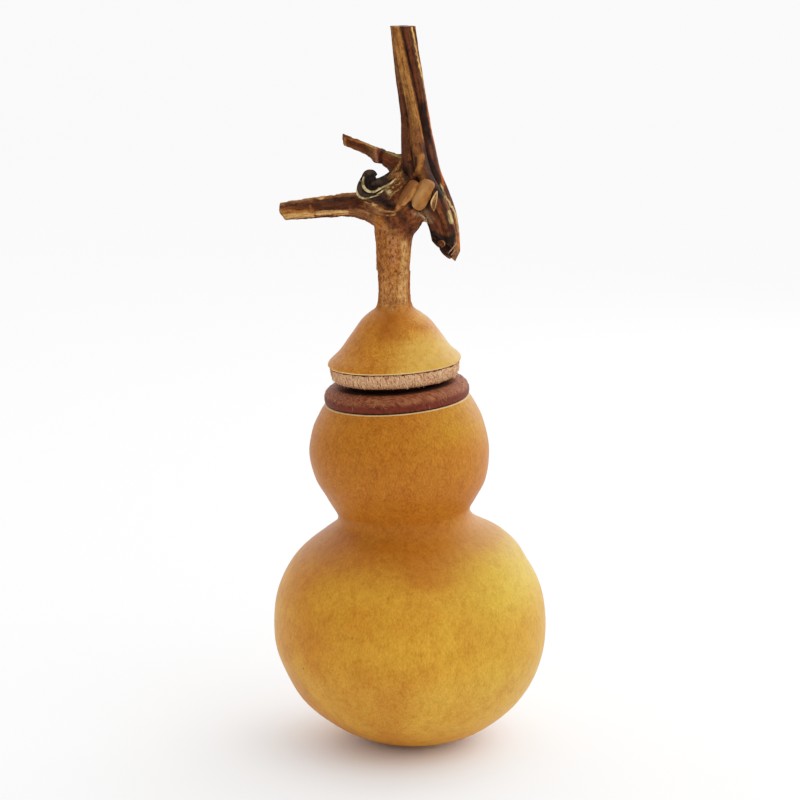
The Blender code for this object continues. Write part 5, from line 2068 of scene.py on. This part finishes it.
class GourdSkinSettings(bpy.types.PropertyGroup):
    """The gourd's skin."""

    # Painted light: the colour of the lower bulb's lit right side.
    painted_light_yellow: colour_setting("Pale yellow", "The lower bulb's paler right side", colour(198, 154, 46))
    ochre: colour_setting("Ochre", "The lower bulb's main colour", colour(180, 112, 29))
    yellow: colour_setting("Yellow", "The lighter clouds in the skin", colour(196, 136, 39))
    upper_ochre: colour_setting("Upper ochre", "The upper bulb's and lid's main colour", colour(148, 79, 16))
    # Used both for real mottling and for the painted shade in the waist's crease.
    mottle_and_waist_shade: colour_setting("Waist brown", "The waist's and the mottling's brown", colour(141, 71, 13))
    # Painted shade: the colour of the cap's shaded top and left side.
    cap_shade_brown: colour_setting("Cap brown", "The lid's deeper colour towards its stalk", colour(148, 80, 20))
    # Painted light: the colour of the cap's lit right side and lower part.
    cap_light: colour_setting("Cap yellow", "The lid's pale yellowish right side", colour(206, 156, 66))
    speck: colour_setting("Specks", "The skin's small dark specks", colour(92, 38, 12))
    scratch: colour_setting("Scratches", "The skin's fine pale scratches", colour(214, 168, 80))
    roughness: share_setting("Roughness", "How dull the skin is", 0.48)
    gloss: share_setting("Gloss", "How strong the skin's sheen is", 0.08)


class TurnedWoodSettings(bpy.types.PropertyGroup):
    """The collar's and the plug's wood."""

    dark: colour_setting("Dark", "The collar's darkest streaks", colour(70, 24, 13))
    brown: colour_setting("Brown", "The collar's main colour", colour(136, 82, 50))
    red: colour_setting("Red", "The collar's redder patches", colour(98, 38, 21))
    dust: colour_setting("Dust", "The pale dust in the collar's pores", colour(160, 104, 70))
    tick: colour_setting("Ticks", "The short dark marks in the collar's wood", colour(38, 13, 8))
    pale: colour_setting("Pale", "The plug's main colour", colour(210, 162, 118))
    pink: colour_setting("Pink", "The plug's pinker patches", colour(186, 126, 88))
    # This brown also paints shade on the plug's pin, underside and lower edge.
    gap: colour_setting("Gaps", "The brown gaps between the plug's fibres", colour(112, 52, 32))
    fuzz: colour_setting("Fuzz", "The palest fibres on the plug's side", colour(226, 190, 150))
    mark_depth: amount_setting("Turning marks", "The collar's turning marks' depth, in mm", 0.012, max=0.2)
    fibre_depth: amount_setting("Fibre depth", "The plug's fibres' depth, in mm", 0.13, max=0.5)
    fuzz_density: amount_setting("Fuzz density", "Loose fibres on a square metre of the plug's side", 3.8e6)
    dust_density: amount_setting("Dust density", "Pale hairs on a square metre of the collar's crown", 1.6e6)


class VineSettings(bpy.types.PropertyGroup):
    """The stalk, the joint and the vine."""

    voxel: amount_setting("Skin grid", "The grid of the joint's skin, in mm", 0.22, low=0.1, max=1.0)
    soften_steps: bpy.props.IntProperty(
        name="Soften", description="How many times the joint's skin is softened", min=0, max=60, default=10
    )
    rib_depth: share_setting("Rib depth", "The vine's ribs, as a share of its radius", VINE_RIB_DEPTH, 0.4)
    groove_depth: share_setting("Groove depth", "The grooves between ribs, as a share of its radius", 0.10, 0.4)


class StageSettings(bpy.types.PropertyGroup):
    """The floor and the lights."""

    floor_colour: colour_setting("Floor", "The floor's colour", (0.98, 0.98, 0.98))
    backdrop: amount_setting("Backdrop", "How bright the backdrop looks", 1.7)
    behind: amount_setting("Light from behind", "The strength of the soft light from behind", 2.31)
    right: amount_setting("Light from the right", "The strength of the soft light from the right", 1.78)
    above: amount_setting("Light from above", "The strength of the soft light from above", 0.97)
    key: amount_setting("Key light", "The power of the light high on the right", 0.69, unit="POWER")
    fill: amount_setting("Fill light", "The power of the low light on the left", 0.43, unit="POWER")
    rim: amount_setting("Rim light", "The power of the light behind on the right", 0.87, unit="POWER")


# Operators


class GOURDJAR_OT_shell(bpy.types.Operator):
    """Builds the gourd's hollow double bulb"""

    bl_idname = "gourdjar.shell"
    bl_label = "Gourd shell"

    def execute(self, context):
        gourd_shell(context.scene.gourdjar_skin)
        return {"FINISHED"}


class GOURDJAR_OT_collar(bpy.types.Operator):
    """Builds the turned collar and the pale hairs on it"""

    bl_idname = "gourdjar.collar"
    bl_label = "Dark collar"

    def execute(self, context):
        carrier = collar_ring(context.scene.gourdjar_wood)
        collar_fibres(carrier, context.scene.gourdjar_wood)
        return {"FINISHED"}


class GOURDJAR_OT_plug(bpy.types.Operator):
    """Builds the turned plug and its torn fibres"""

    bl_idname = "gourdjar.plug"
    bl_label = "Pale plug"

    def execute(self, context):
        carrier = plug_disc(context.scene.gourdjar_wood)
        plug_fibres(carrier, context.scene.gourdjar_wood)
        return {"FINISHED"}


class GOURDJAR_OT_lid(bpy.types.Operator):
    """Builds the lid's cap with its stalk, branch, twig and curled shoot"""

    bl_idname = "gourdjar.lid"
    bl_label = "Lid and stalk"

    def execute(self, context):
        lid_tip(context.scene.gourdjar_vine, context.scene.gourdjar_skin)
        return {"FINISHED"}


class GOURDJAR_OT_vine(bpy.types.Operator):
    """Builds the ribbed main vine with its hollow foot"""

    bl_idname = "gourdjar.vine"
    bl_label = "Ribbed vine"

    def execute(self, context):
        vine_stem(context.scene.gourdjar_vine)
        return {"FINISHED"}


class GOURDJAR_OT_joint(bpy.types.Operator):
    """Builds the joint's pads, curled strips, scraps and loose fibres"""

    bl_idname = "gourdjar.joint"
    bl_label = "Joint details"

    def execute(self, context):
        shoot_pads()
        dry_curl()
        loose_fibres()
        return {"FINISHED"}


class GOURDJAR_OT_stage(bpy.types.Operator):
    """Sets up the floor, the lights and the camera"""

    bl_idname = "gourdjar.stage"
    bl_label = "Stage"

    def execute(self, context):
        settings = context.scene.gourdjar_stage
        reference_camera()
        pale_surroundings(settings)
        soft_tones()
        pale_floor(settings)
        for name, (place, size) in LIGHTS.items():
            soft_light(name, place, size, getattr(settings, name))
        return {"FINISHED"}


class GOURDJAR_PT_panel(bpy.types.Panel):
    """Lists the jar's settings and the steps that build it"""

    bl_idname = "GOURDJAR_PT_panel"
    bl_label = "Gourd Jar"
    bl_space_type = "VIEW_3D"
    bl_region_type = "UI"
    bl_category = "Gourd Jar"

    def draw(self, context):
        layout = self.layout
        for group in (context.scene.gourdjar_skin, context.scene.gourdjar_wood, context.scene.gourdjar_vine,
                      context.scene.gourdjar_stage):
            box = layout.box()
            for name in group.__annotations__:
                box.prop(group, name)
        for step in STEPS:
            layout.operator(step.bl_idname)


STEPS = [
    GOURDJAR_OT_stage,
    GOURDJAR_OT_shell,
    GOURDJAR_OT_collar,
    GOURDJAR_OT_plug,
    GOURDJAR_OT_lid,
    GOURDJAR_OT_vine,
    GOURDJAR_OT_joint,
]
SETTINGS = {
    "gourdjar_skin": GourdSkinSettings,
    "gourdjar_wood": TurnedWoodSettings,
    "gourdjar_vine": VineSettings,
    "gourdjar_stage": StageSettings,
}


def register():
    for kind in (*SETTINGS.values(), *STEPS, GOURDJAR_PT_panel):
        bpy.utils.register_class(kind)
    for name, kind in SETTINGS.items():
        setattr(bpy.types.Scene, name, bpy.props.PointerProperty(type=kind))


def unregister():
    for name in SETTINGS:
        delattr(bpy.types.Scene, name)
    for kind in reversed((*SETTINGS.values(), *STEPS, GOURDJAR_PT_panel)):
        bpy.utils.unregister_class(kind)


def main():
    register()
    bpy.ops.gourdjar.stage()
    bpy.ops.gourdjar.shell()
    bpy.ops.gourdjar.collar()
    bpy.ops.gourdjar.plug()
    bpy.ops.gourdjar.lid()
    bpy.ops.gourdjar.vine()
    bpy.ops.gourdjar.joint()


if __name__ == "__main__":
    main()
